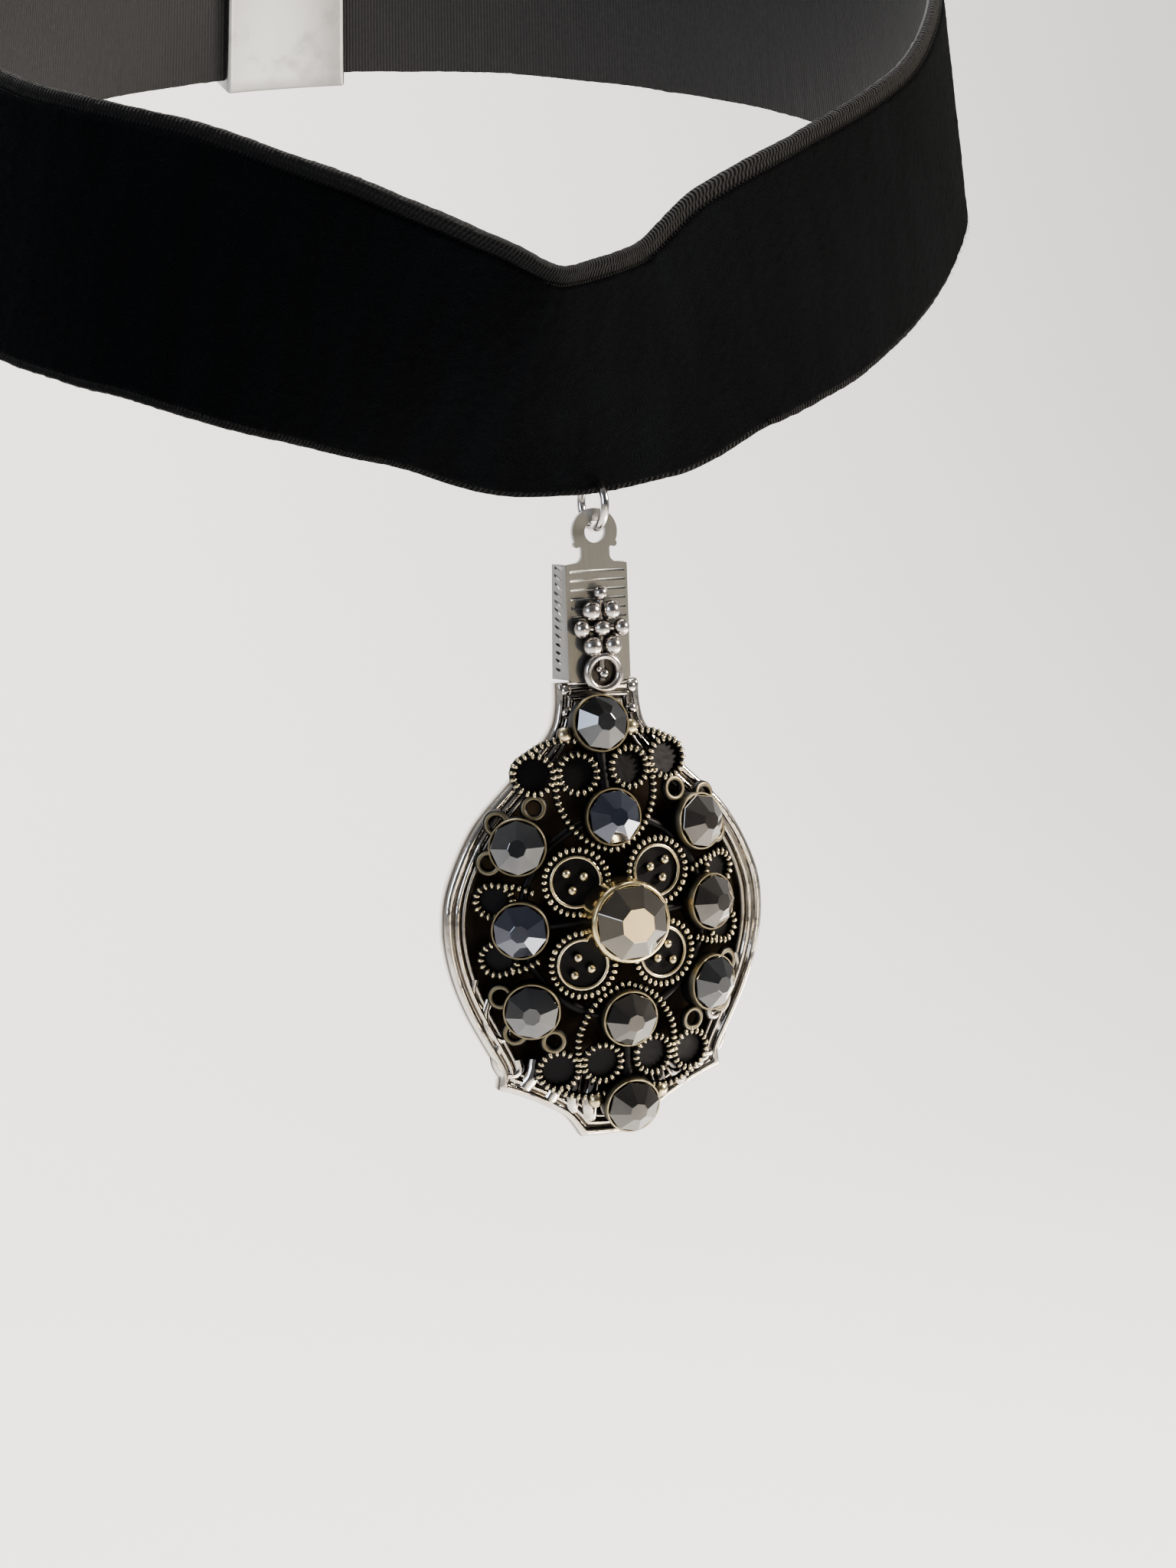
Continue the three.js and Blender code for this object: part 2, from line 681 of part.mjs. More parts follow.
// Round cut stone: a table, eight main facets with their stars, a girdle and a pavilion.
function makeStone(diameter, crown) {
  const radius = diameter / 2;
  const girdle = diameter * 0.04;
  const points = [];
  const ring = (count, r, z, offset) => {
    for (let i = 0; i < count; i += 1) {
      const turn = (2 * Math.PI * (i + offset)) / count;
      points.push(new THREE.Vector3(r * Math.cos(turn), r * Math.sin(turn), z));
    }
  };
  ring(8, radius * 0.5, girdle + crown, 0.5);
  ring(8, radius * 0.8, girdle + crown * 0.55, 0);
  ring(16, radius, girdle, 0.5);
  ring(16, radius, 0, 0.5);
  ring(8, radius * 0.45, -crown * 0.8, 0.5);
  return new ConvexGeometry(points);
}

function stoneMesh(name, diameter, crown, x, y, lift) {
  const mesh = namedMesh(name, makeStone(diameter, crown), hematite);
  domePlace(x, y, lift).decompose(mesh.position, mesh.quaternion, mesh.scale);
  return mesh;
}

// Assembly

const choker = new THREE.Group();

const band = new THREE.Group();
band.rotation.x = radians(NECK_TILT_DEG);
band.add(namedMesh("ribbon", makeRibbon(), velvet));
band.add(namedMesh("clasp", makeClasp(), silver));
choker.add(band);

// The ring hangs straight down from the piercing, and the pendant from the ring.
const ringRise = Math.sqrt(RING_RADIUS ** 2 - RING_SETBACK ** 2);
const ringCentre = piercing.clone().add(new THREE.Vector3(0, RING_SETBACK, -ringRise));
const ring = namedMesh("jump_ring", wireLoop(RING_RADIUS, RING_WIRE, 6, RING_SEGMENTS), silver);
ring.position.copy(ringCentre);
ring.rotation.set(0, Math.PI / 2, radians(RING_YAW_DEG), "ZYX");
choker.add(ring);

const eyeDrop = EYE_DIAMETER / 2 - RING_WIRE / 2 - CLEARANCE;
const pendant = new THREE.Group();
pendant.position.copy(ringCentre).add(new THREE.Vector3(0, 0, -RING_RADIUS - eyeDrop));
pendant.rotation.x = Math.PI / 2;
choker.add(pendant);

pendant.add(namedMesh("hanger_tab", makeHangerTab(), agedSilver));
pendant.add(namedMesh("granule_cluster", makeGranuleCluster(), silver));

const plate = namedMesh("backing_plate", makeBackingPlate(), silver);
plate.position.set(FILIGREE_OFFSET, -PENDANT_DROP, PLATE_BACK);
pendant.add(plate);

const openwork = new THREE.Group();
openwork.position.set(FILIGREE_OFFSET, -PENDANT_DROP, 0);
openwork.rotation.z = radians(FILIGREE_TURN_DEG);
openwork.add(namedMesh("filigree", makeFiligree(), darkBrass));
const smallLift = SMALL_CUP_HEIGHT + CLEARANCE;
const centreLift = CENTRE_CUP_HEIGHT + CLEARANCE;
openwork.add(stoneMesh("stone_centre", CENTRE_STONE, 1.7, 0, 0, centreLift));
for (const { name, x, y } of smallStonePlaces) {
  openwork.add(stoneMesh(name, SMALL_STONE, 1.2, x, y, smallLift));
}
pendant.add(openwork);

export default choker;
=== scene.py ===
"""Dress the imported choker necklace: velvet ribbon, silver hanger, oxidised filigree and dark stones."""

import logging
import math
import random
from collections.abc import Callable, Iterable, Sequence
from dataclasses import dataclass
from enum import Enum

import bpy
import numpy as np
from mathutils import Matrix, Vector, noise

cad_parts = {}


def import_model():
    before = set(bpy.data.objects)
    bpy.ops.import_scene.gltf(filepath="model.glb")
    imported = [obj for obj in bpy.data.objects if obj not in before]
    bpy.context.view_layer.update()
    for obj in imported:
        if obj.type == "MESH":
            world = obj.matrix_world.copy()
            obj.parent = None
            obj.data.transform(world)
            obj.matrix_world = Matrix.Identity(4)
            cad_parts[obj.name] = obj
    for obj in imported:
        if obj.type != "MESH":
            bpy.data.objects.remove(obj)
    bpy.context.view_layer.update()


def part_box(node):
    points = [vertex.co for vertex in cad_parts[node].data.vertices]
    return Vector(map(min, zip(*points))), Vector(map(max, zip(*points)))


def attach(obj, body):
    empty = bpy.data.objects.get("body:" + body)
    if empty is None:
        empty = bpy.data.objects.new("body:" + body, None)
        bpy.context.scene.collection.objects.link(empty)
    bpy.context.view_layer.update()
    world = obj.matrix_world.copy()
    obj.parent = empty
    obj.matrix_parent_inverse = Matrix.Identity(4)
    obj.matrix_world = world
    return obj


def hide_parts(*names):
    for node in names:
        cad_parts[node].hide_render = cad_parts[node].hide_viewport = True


LOG = logging.getLogger("choker")
MM = 0.001
# Vertex mark of wear and oxide together with painted shade and painted highlights, from 0 dark to 1 bright.
WEAR_AND_SHADE = "proud"

Point2 = tuple[float, float]
Frame = tuple[Vector, Vector, Vector]
Piece = bpy.types.Object


class Body(Enum):
    """Bodies of the frame that pieces ride on."""

    CHOKER = "choker"
    RING = "ring"
    PENDANT = "pendant"


class Slot(Enum):
    """Material slots of the record."""

    VELVET = "velvet"
    POLISHED_SILVER = "polished_silver"
    BRUSHED_SILVER = "brushed_silver"
    OXIDISED_BRASS = "oxidised_brass"
    CRYSTAL = "hematite_crystal"


# Selecting, shaping and finishing of meshes


def select_only(*pieces: Piece) -> None:
    """Select these pieces alone and make the first one active.

    Args:
        pieces: Objects to select, at least one.
    """
    bpy.ops.object.select_all(action="DESELECT")
    for piece in pieces:
        piece.select_set(True)
    bpy.context.view_layer.objects.active = pieces[0]


def newest(name: str) -> Piece:
    """Name the object that an operator has just made.

    Args:
        name: Plain name for the object and its mesh.

    Returns:
        The active object.
    """
    piece = bpy.context.active_object
    piece.name = name
    piece.data.name = name
    return piece


def apply_modifier(piece: Piece, kind: str, **settings: object) -> None:
    """Add a modifier, set it and apply it.

    Args:
        piece: Object that is changed.
        kind: Blender's name for the modifier's type.
        settings: Values of the modifier by their names.
    """
    modifier = piece.modifiers.new(kind.title(), kind)
    for name, value in settings.items():
        setattr(modifier, name, value)
    select_only(piece)
    bpy.ops.object.modifier_apply(modifier=modifier.name)


def bevel(piece: Piece, width: float, segments: int, degrees: float) -> None:
    """Round the edges that are sharper than an angle."""
    limit = math.radians(degrees)
    apply_modifier(piece, "BEVEL", width=width, segments=segments, limit_method="ANGLE", angle_limit=limit)


def join(name: str, pieces: Sequence[Piece]) -> Piece:
    """Join pieces into one object.

    Args:
        name: Name of the joined object.
        pieces: Objects to join; the first one keeps its materials first.

    Returns:
        The joined object.
    """
    select_only(*pieces)
    if len(pieces) > 1:
        bpy.ops.object.join()
    return newest(name)


def bake_place(piece: Piece, place: Matrix) -> None:
    """Put a shape where it belongs, with its place in its mesh.

    Args:
        piece: Object whose mesh is moved.
        place: Where the shape's own axes go.
    """
    piece.data.transform(place @ piece.matrix_basis)
    piece.matrix_basis = Matrix.Identity(4)
    piece.data.update()


def smooth(piece: Piece, degrees: float = 35.0) -> None:
    """Shade a piece smooth, and keep the edges sharper than an angle."""
    select_only(piece)
    bpy.ops.object.shade_smooth_by_angle(angle=math.radians(degrees))


def crisp(piece: Piece, degrees: float = 35.0) -> None:
    """Shade a bevelled piece so that its large faces stay flat."""
    smooth(piece, degrees)
    apply_modifier(piece, "WEIGHTED_NORMAL", keep_sharp=True, weight=50)


def outward(piece: Piece) -> None:
    """Merge doubles of a closed shape and turn its faces outwards.

    Args:
        piece: The closed shape.
    """
    select_only(piece)
    bpy.ops.object.mode_set(mode="EDIT")
    bpy.ops.mesh.select_all(action="SELECT")
    bpy.ops.mesh.remove_doubles(threshold=1e-5)
    bpy.ops.mesh.normals_make_consistent(inside=False)
    bpy.ops.object.mode_set(mode="OBJECT")


def select_faces(piece: Piece, wanted: Callable[[bpy.types.MeshPolygon], bool]) -> None:
    """Select the faces that pass a test, and nothing else.

    Args:
        piece: Mesh object, in object mode.
        wanted: Test on one face.
    """
    for collection in (piece.data.vertices, piece.data.edges):
        collection.foreach_set("select", [False] * len(collection))
    for face in piece.data.polygons:
        face.select = wanted(face)


def outline_slab(name: str, outline: Sequence[Point2], base: float, top: float) -> Piece:
    """Make a flat slab with a given outline, and leave its top face selected for more shaping.

    Args:
        name: Name of the new object.
        outline: Corners, counter-clockwise.
        base: Height of the slab's underside.
        top: Height of its upper face.

    Returns:
        The slab, in object mode.
    """
    bpy.ops.object.select_all(action="DESELECT")
    bpy.ops.mesh.primitive_circle_add(vertices=len(outline), radius=1, fill_type="NGON")
    slab = newest(name)
    for vertex, (x, y) in zip(slab.data.vertices, outline):
        vertex.co = (x, y, base)
    slab.data.update()
    bpy.ops.object.mode_set(mode="EDIT")
    bpy.ops.mesh.select_all(action="SELECT")
    if slab.data.polygons[0].normal.z < 0:
        bpy.ops.mesh.flip_normals()
    bpy.ops.mesh.extrude_region_move(TRANSFORM_OT_translate={"value": (0, 0, top - base)})
    bpy.ops.object.mode_set(mode="OBJECT")
    return slab


def wrap_rings(name: str, rings: Sequence[Sequence[Sequence[float]]]) -> Piece:
    """Join closed rings of places into a skin, and close its two ends.

    Args:
        name: Name of the new object.
        rings: Rings with equally many places each, counter-clockwise seen from the last ring's side.

    Returns:
        A closed shape with its faces outwards.
    """
    around, layers = len(rings[0]), len(rings) - 1
    bpy.ops.object.select_all(action="DESELECT")
    bpy.ops.mesh.primitive_grid_add(x_subdivisions=around, y_subdivisions=layers, size=1)
    skin = newest(name)
    for vertex in skin.data.vertices:
        i, j = round((vertex.co.x + 0.5) * around), round((vertex.co.y + 0.5) * layers)
        vertex.co = rings[j][i % around]
    select_only(skin)
    bpy.ops.object.mode_set(mode="EDIT")
    bpy.ops.mesh.select_all(action="SELECT")
    bpy.ops.mesh.select_mode(type="VERT")
    bpy.ops.mesh.remove_doubles(threshold=1e-6)
    bpy.ops.mesh.fill_holes(sides=0)
    bpy.ops.mesh.normals_make_consistent(inside=False)
    bpy.ops.object.mode_set(mode="OBJECT")
    return skin


def inset_steps(piece: Piece, steps: Iterable[Point2]) -> None:
    """Inset the selected face again and again, each time with a width and a rise.

    Args:
        piece: Mesh object with one face selected.
        steps: Width and rise of each inset.
    """
    select_only(piece)
    bpy.ops.object.mode_set(mode="EDIT")
    bpy.ops.mesh.select_mode(type="FACE")
    for width, rise in steps:
        bpy.ops.mesh.inset(thickness=width, depth=rise, use_even_offset=False)
    bpy.ops.object.mode_set(mode="OBJECT")


def cut(piece: Piece, cutter: Piece) -> None:
    """Cut one closed shape out of another, and remove the cutter."""
    apply_modifier(piece, "BOOLEAN", operation="DIFFERENCE", object=cutter, solver="EXACT")
    bpy.data.objects.remove(cutter)


def add_box(name: str, size: Sequence[float], centre: Sequence[float]) -> Piece:
    """Add a box of given edge lengths round a centre.

    Args:
        name: Name of the box.
        size: Its edge lengths.
        centre: Its middle.

    Returns:
        The box.
    """
    bpy.ops.object.select_all(action="DESELECT")
    bpy.ops.mesh.primitive_cube_add(size=1)
    piece = newest(name)
    bake_place(piece, Matrix.Translation(centre) @ Matrix.Diagonal((*size, 1)))
    return piece


def add_ball(name: str, radius: float, centre: Sequence[float], segments: int = 24) -> Piece:
    """Add a smooth ball.

    Args:
        name: Name of the ball.
        radius: Its radius.
        centre: Its middle.
        segments: How many faces go round it.

    Returns:
        The ball.
    """
    bpy.ops.object.select_all(action="DESELECT")
    bpy.ops.mesh.primitive_uv_sphere_add(segments=segments, ring_count=segments * 2 // 3, radius=radius)
    piece = newest(name)
    bake_place(piece, Matrix.Translation(centre))
    smooth(piece, 180)
    return piece


def add_ring(name: str, radius: float, wire: float, sides: int, wire_sides: int) -> Piece:
    """Add a round wire ring about the z axis; wire is its diameter.

    Args:
        name: Name of the ring.
        radius: From its middle to the middle of the wire.
        wire: Diameter of the wire.
        sides: How many faces go round the ring.
        wire_sides: How many faces go round the wire.

    Returns:
        The ring.
    """
    bpy.ops.object.select_all(action="DESELECT")
    bpy.ops.mesh.primitive_torus_add(
        major_radius=radius, minor_radius=wire / 2, major_segments=sides, minor_segments=wire_sides
    )
    piece = newest(name)
    smooth(piece, 180)
    return piece


def add_path(name: str, points: Sequence[Sequence[float]], closed: bool = False) -> Piece:
    """Add a smooth curve through points.

    Args:
        name: Name of the curve.
        points: Places in order.
        closed: True for a loop.

    Returns:
        The curve object.
    """
    data = bpy.data.curves.new(name, "CURVE")
    data.dimensions = "3D"
    data.resolution_u = 8
    spline = data.splines.new("BEZIER")
    spline.bezier_points.add(len(points) - 1)
    spline.use_cyclic_u = closed
    for handle, place in zip(spline.bezier_points, points):
        handle.co = place
        handle.handle_left_type = "AUTO"
        handle.handle_right_type = "AUTO"
    path = bpy.data.objects.new(name, data)
    bpy.context.scene.collection.objects.link(path)
    return path


def plain_wire(name: str, points: Sequence[Sequence[float]], wire: float, sides: int = 3) -> Piece:
    """Make a smooth round wire along points; sides is the curve's bevel resolution.

    Args:
        name: Name of the wire.
        points: Places that it passes, in order.
        wire: Its diameter.
        sides: The curve's bevel resolution.

    Returns:
        The wire as a mesh.
    """
    path = add_path(name, points)
    path.data.bevel_depth = wire / 2
    path.data.bevel_resolution = sides
    path.data.use_fill_caps = True
    select_only(path)
    bpy.ops.object.convert(target="MESH")
    piece = newest(name)
    smooth(piece, 60)
    return piece


def beaded_wire(
    name: str, points: Sequence[Sequence[float]], wire: float, pitch: float, closed: bool = False
) -> Piece:
    """Make a milled wire: one bead, repeated along a curve.

    Args:
        name: Name of the wire.
        points: Places that the wire follows.
        wire: Diameter over the beads.
        pitch: Length from bead to bead.
        closed: True for a loop.

    Returns:
        The wire as one mesh.
    """
    path = add_path(name + "_path", points, closed)
    bpy.ops.object.select_all(action="DESELECT")
    bpy.ops.mesh.primitive_uv_sphere_add(segments=8, ring_count=6, radius=wire / 2)
    bead = newest(name)
    squeeze = Matrix.Diagonal((pitch * 0.74 / wire, 1, 1, 1))
    bake_place(bead, squeeze @ Matrix.Rotation(math.pi / 2, 4, "Y"))
    smooth(bead, 180)
    apply_modifier(
        bead,
        "ARRAY",
        fit_type="FIT_CURVE",
        curve=path,
        use_relative_offset=False,
        use_constant_offset=True,
        constant_offset_displace=(pitch, 0, 0),
    )
    apply_modifier(bead, "CURVE", object=path, deform_axis="POS_X")
    bpy.data.objects.remove(path)
    return bead


def store_wear_and_shade(piece: Piece, values: Sequence[float]) -> None:
    """Store one value of wear and painted light for each vertex, from 0 dark to 1 bright."""
    mark = piece.data.attributes.new(name=WEAR_AND_SHADE, type="FLOAT", domain="POINT")
    mark.data.foreach_set("value", values)


def mark_height(piece: Piece, ground: Callable[[float, float], float], low: float, high: float) -> None:
    """Store how proud each vertex stands of a ground, from 0 in the hollows to 1 on the crests, lowered where
    the vertex turns away from the jewel's face.

    Args:
        piece: Mesh object in its own axes, with z out of the jewel's face.
        ground: Height of the ground at a place.
        low: Height above the ground that counts as 0.
        high: Height above the ground that counts as 1.
    """
    values = []
    for vertex in piece.data.vertices:
        x, y, z = vertex.co
        # Low vertices are marked dark and high ones bright: oxide and wear, and with them painted shade in
        # the hollows and painted highlights on the crests.
        rise = (z - ground(x, y) - low) / (high - low)
        # Painted light: vertices turned out of the jewel's face are marked brighter than those turned aside.
        painted_facing_light = 0.35 + 0.65 * max(vertex.normal.z, 0.0)
        values.append(min(max(rise, 0.0), 1.0) * painted_facing_light)
    store_wear_and_shade(piece, values)


def flat_ground(x: float, y: float) -> float:
    """Give the height of level ground, which is nothing anywhere."""
    return 0.0


def hand_over(piece: Piece, body: Body, slot: Slot, *nodes: str) -> Piece:
    """Make a finished piece ride on its body, hide the CAD nodes that it replaces, and log its faces.

    Args:
        piece: Finished object.
        body: Body that it rides on.
        slot: Material slot that its finish comes from; not used.
        nodes: CAD nodes that it replaces.

    Returns:
        The same piece.
    """
    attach(piece, body.value)
    if nodes:
        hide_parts(*nodes)
    LOG.info("%s rides on %s, %d faces", piece.name, body.value, len(piece.data.polygons))
    return piece


# Shader building blocks


class Shading:
    """Short calls for building one node tree."""

    def __init__(self, tree: bpy.types.NodeTree) -> None:
        """Keep the tree that nodes are added to."""
        self.tree = tree

    def add(self, kind: str, inputs: dict[str, object] | None = None, **settings: object) -> bpy.types.Node:
        """Add a node.

        Args:
            kind: Node type without the ShaderNode prefix.
            inputs: Values or sockets for its inputs.
            settings: Values of its own settings.

        Returns:
            The new node.
        """
        node = self.tree.nodes.new("ShaderNode" + kind)
        for name, value in settings.items():
            setattr(node, name, value)
        for name, value in (inputs or {}).items():
            self.feed(node.inputs[name], value)
        return node

    def feed(self, socket: bpy.types.NodeSocket, value: object) -> None:
        """Link a socket to an input, or set the input's value.

        Args:
            socket: The input.
            value: A socket to link, or a plain value.
        """
        if isinstance(value, bpy.types.NodeSocket):
            self.tree.links.new(value, socket)
        else:
            socket.default_value = value

    def maths(
        self, operation: str, first: object, second: object = 0.0, clamp: bool = False
    ) -> bpy.types.NodeSocket:
        """Add a Math node and return its value.

        Args:
            operation: The node's operation.
            first: First value or socket.
            second: Second value or socket.
            clamp: True to keep the result from 0 to 1.

        Returns:
            The result.
        """
        node = self.add("Math", operation=operation, use_clamp=clamp)
        self.feed(node.inputs[0], first)
        self.feed(node.inputs[1], second)
        return node.outputs[0]

    def ramp(self, value: object, stops: Sequence[tuple[float, float]]) -> bpy.types.NodeSocket:
        """Add a grey ramp.

        Args:
            value: Socket that drives the ramp.
            stops: Position and brightness of each stop.

        Returns:
            The ramp's colour output.
        """
        node = self.add("ValToRGB", {"Fac": value})
        elements = node.color_ramp.elements
        while len(elements) < len(stops):
            elements.new(0.5)
        for element, (position, level) in zip(elements, stops):
            element.position = position
            element.color = (level, level, level, 1)
        return node.outputs["Color"]

    def mix_colour(self, share: object, first: object, second: object) -> bpy.types.NodeSocket:
        """Mix two colours by a share from 0 to 1.

        Args:
            share: How much of the second colour shows.
            first: Colour or socket at 0.
            second: Colour or socket at 1.

        Returns:
            The mixed colour.
        """
        node = self.add("Mix", data_type="RGBA")
        self.feed(node.inputs["Factor"], share)
        for socket, value in zip((node.inputs[6], node.inputs[7]), (first, second)):
            self.feed(socket, value)
        return node.outputs[2]

    def bump(self, height: object, distance: float, strength: float = 1.0) -> bpy.types.NodeSocket:
        """Turn a height into a normal; distance is in metres."""
        node = self.add("Bump", {"Height": height, "Distance": distance, "Strength": strength})
        return node.outputs["Normal"]

    def object_place(self) -> bpy.types.NodeSocket:
        """Return the Object coordinates."""
        return self.add("TexCoord").outputs["Object"]


def open_group(
    name: str, inputs: dict[str, tuple[str, object]], outputs: dict[str, str]
) -> tuple[Shading, dict, dict]:
    """Start a shader node group with named sockets.

    Args:
        name: Name of the group.
        inputs: Socket type and default of each input.
        outputs: Socket type of each output.

    Returns:
        The tree to build in, the sockets that come in and the sockets that go out.
    """
    tree = bpy.data.node_groups.new(name, "ShaderNodeTree")
    for label, (kind, default) in inputs.items():
        socket = tree.interface.new_socket(label, in_out="INPUT", socket_type=kind)
        if default is not None:
            socket.default_value = default
    for label, kind in outputs.items():
        tree.interface.new_socket(label, in_out="OUTPUT", socket_type=kind)
    entry = tree.nodes.new("NodeGroupInput")
    leave = tree.nodes.new("NodeGroupOutput")
    return Shading(tree), dict(entry.outputs.items()), dict(leave.inputs.items())


FLOAT, VECTOR = "NodeSocketFloat", "NodeSocketVector"


def tarnish_group() -> bpy.types.NodeTree:
    """Build the cloudy mask of worn and tarnished patches.

    Returns:
        A group with Place, Size and Cover in, and Mask out.
    """
    shade, came, goes = open_group(
        "tarnish", {"Place": (VECTOR, None), "Size": (FLOAT, 400.0), "Cover": (FLOAT, 0.5)}, {"Mask": FLOAT}
    )
    pattern = {"Vector": came["Place"], "Scale": came["Size"]}
    cloud = shade.add("TexNoise", pattern | {"Detail": 6.0, "Roughness": 0.62})
    above = shade.maths("SUBTRACT", cloud.outputs[0], shade.maths("SUBTRACT", 1.0, came["Cover"]))
    steep = shade.maths("MULTIPLY", above, 5.0)
    shade.feed(goes["Mask"], shade.maths("ADD", steep, 0.5, clamp=True))
    return shade.tree


def scratch_group() -> bpy.types.NodeTree:
    """Build fine straight scratches along one axis of the given place.

    Returns:
        A group with Place and Size in, and Height out.
    """
    sockets = {"Place": (VECTOR, None), "Size": (FLOAT, 900.0)}
    shade, came, goes = open_group("scratches", sockets, {"Height": FLOAT})
    stretch = shade.add("Mapping", {"Vector": came["Place"], "Scale": (1.0, 1.0, 0.06)})
    pattern = {"Vector": stretch.outputs[0], "Scale": came["Size"]}
    grain = shade.add("TexNoise", pattern | {"Detail": 4.0})
    nick = shade.add("TexVoronoi", pattern, feature="DISTANCE_TO_EDGE")
    shade.feed(goes["Height"], shade.maths("ADD", grain.outputs[0], nick.outputs["Distance"]))
    return shade.tree


def hammer_group() -> bpy.types.NodeTree:
    """Build the soft dents and ripples of cast metal.

    Returns:
        A group with Place and Size in, and Height out.
    """
    sockets = {"Place": (VECTOR, None), "Size": (FLOAT, 500.0)}
    shade, came, goes = open_group("casting", sockets, {"Height": FLOAT})
    pattern = {"Vector": came["Place"], "Scale": came["Size"]}
    swell = shade.add("TexNoise", pattern | {"Detail": 2.0})
    pit = shade.add("TexVoronoi", pattern, feature="SMOOTH_F1")
    shade.feed(goes["Height"], shade.maths("ADD", swell.outputs[0], pit.outputs["Distance"]))
    return shade.tree


class Effects:
    """The shared node groups, each built once when first asked for."""

    MAKERS: dict[str, Callable[[], bpy.types.NodeTree]] = {
        "tarnish": tarnish_group,
        "scratches": scratch_group,
        "casting": hammer_group,
    }

    @classmethod
    def place(cls, shade: Shading, name: str, **inputs: object) -> bpy.types.NodeSocket:
        """Place a shared group in a material.

        Args:
            shade: Tree that the group goes into.
            name: Name of the effect.
            inputs: Values or sockets for its inputs.

        Returns:
            The group's one output.
        """
        tree = bpy.data.node_groups.get(name) or cls.MAKERS[name]()
        return shade.add("Group", inputs, node_tree=tree).outputs[0]


# Finishes


Colour = tuple[float, float, float]


def opaque(colour: Colour) -> tuple[float, float, float, float]:
    """Give a colour its full alpha."""
    return (*colour, 1.0)


def new_material(name: str) -> tuple[bpy.types.Material, Shading, bpy.types.Node]:
    """Start a material.

    Args:
        name: Plain name of the finish.

    Returns:
        The material, its tree and its Principled shader.
    """
    material = bpy.data.materials.new(name)
    material.use_nodes = True
    shade = Shading(material.node_tree)
    return material, shade, material.node_tree.nodes["Principled BSDF"]


def set_values(shader: bpy.types.Node, **values: object) -> None:
    """Set a shader's own sockets; underscores in the names stand for spaces."""
    for name, value in values.items():
        shader.inputs[name.replace("_", " ")].default_value = value


class Relief(Enum):
    """Kinds of fine relief on metal."""

    CAST = "casting"
    SCRATCHED = "scratches"


@dataclass(frozen=True)
class MetalFinish:
    """Metal with bright wear, dark tarnish and fine relief; a crest mark adds painted shade in the hollows
    and painted highlights on the crests.
    """

    name: str
    bright: Colour
    dark: Colour
    polish: float
    dull: float
    cover: float
    patch_size: float
    relief: Relief
    relief_size: float
    relief_depth: float
    crest: str | None = None

    def material(self) -> bpy.types.Material:
        """Build the finish."""
        material, shade, shader = new_material(self.name)
        place = shade.object_place()
        mask = Effects.place(shade, "tarnish", Place=place, Size=self.patch_size, Cover=self.cover)
        if self.crest:
            # The crest mark paints hollows dark and crests bright: oxide and wear, with painted shade and
            # painted highlights.
            proud = shade.add("Attribute", attribute_name=self.crest).outputs["Fac"]
            hollow = shade.ramp(proud, [(0.12, 1.0), (0.7, 0.1), (1.0, 0.0)])
            mask = shade.maths("MAXIMUM", hollow, shade.maths("MULTIPLY", mask, 0.25))
        colour = shade.mix_colour(mask, opaque(self.bright), opaque(self.dark))
        shade.feed(shader.inputs["Base Color"], colour)
        spread = shade.maths("MULTIPLY", mask, self.dull - self.polish)
        shade.feed(shader.inputs["Roughness"], shade.maths("ADD", spread, self.polish))
        height = Effects.place(shade, self.relief.value, Place=place, Size=self.relief_size)
        shade.feed(shader.inputs["Normal"], shade.bump(height, self.relief_depth))
        set_values(shader, Metallic=1.0)
        return material


@dataclass(frozen=True)
class PileFinish:
    """Black velvet pile: a faint sheen, crushed streaks and fine tufts. Its UV map counts ribbon widths."""

    deep: Colour = (0.0007, 0.0007, 0.0009)
    brushed: Colour = (0.0026, 0.0038, 0.0052)

    def material(self) -> bpy.types.Material:
        """Build the finish."""
        material, shade, shader = new_material("velvet_pile")
        cloth = shade.add("TexCoord").outputs["UV"]
        across = shade.add("Mapping", {"Vector": cloth, "Scale": (9.0, 1.6, 1.0)})
        crushed = shade.add("TexNoise", {"Vector": across.outputs[0], "Scale": 1.0, "Detail": 3.0})
        tufts = shade.add("TexNoise", {"Vector": cloth, "Scale": 170.0, "Detail": 2.0, "Roughness": 0.7})
        streaks = shade.ramp(crushed.outputs[0], [(0.42, 0.0), (0.75, 0.7)])
        grain = shade.ramp(tufts.outputs[0], [(0.45, 0.0), (0.8, 1.0)])
        share = shade.maths("ADD", shade.maths("MULTIPLY", streaks, 0.3), shade.maths("MULTIPLY", grain, 0.8))
        colour = shade.mix_colour(share, opaque(self.deep), opaque(self.brushed))
        shade.feed(shader.inputs["Base Color"], colour)
        shade.feed(shader.inputs["Normal"], shade.bump(tufts.outputs[0], 0.00035))
        set_values(
            shader,
            Roughness=0.95,
            Specular_IOR_Level=0.02,
            Sheen_Weight=0.003,
            Sheen_Roughness=0.45,
            Sheen_Tint=(0.60, 0.72, 0.90, 1.0),
        )
        return material


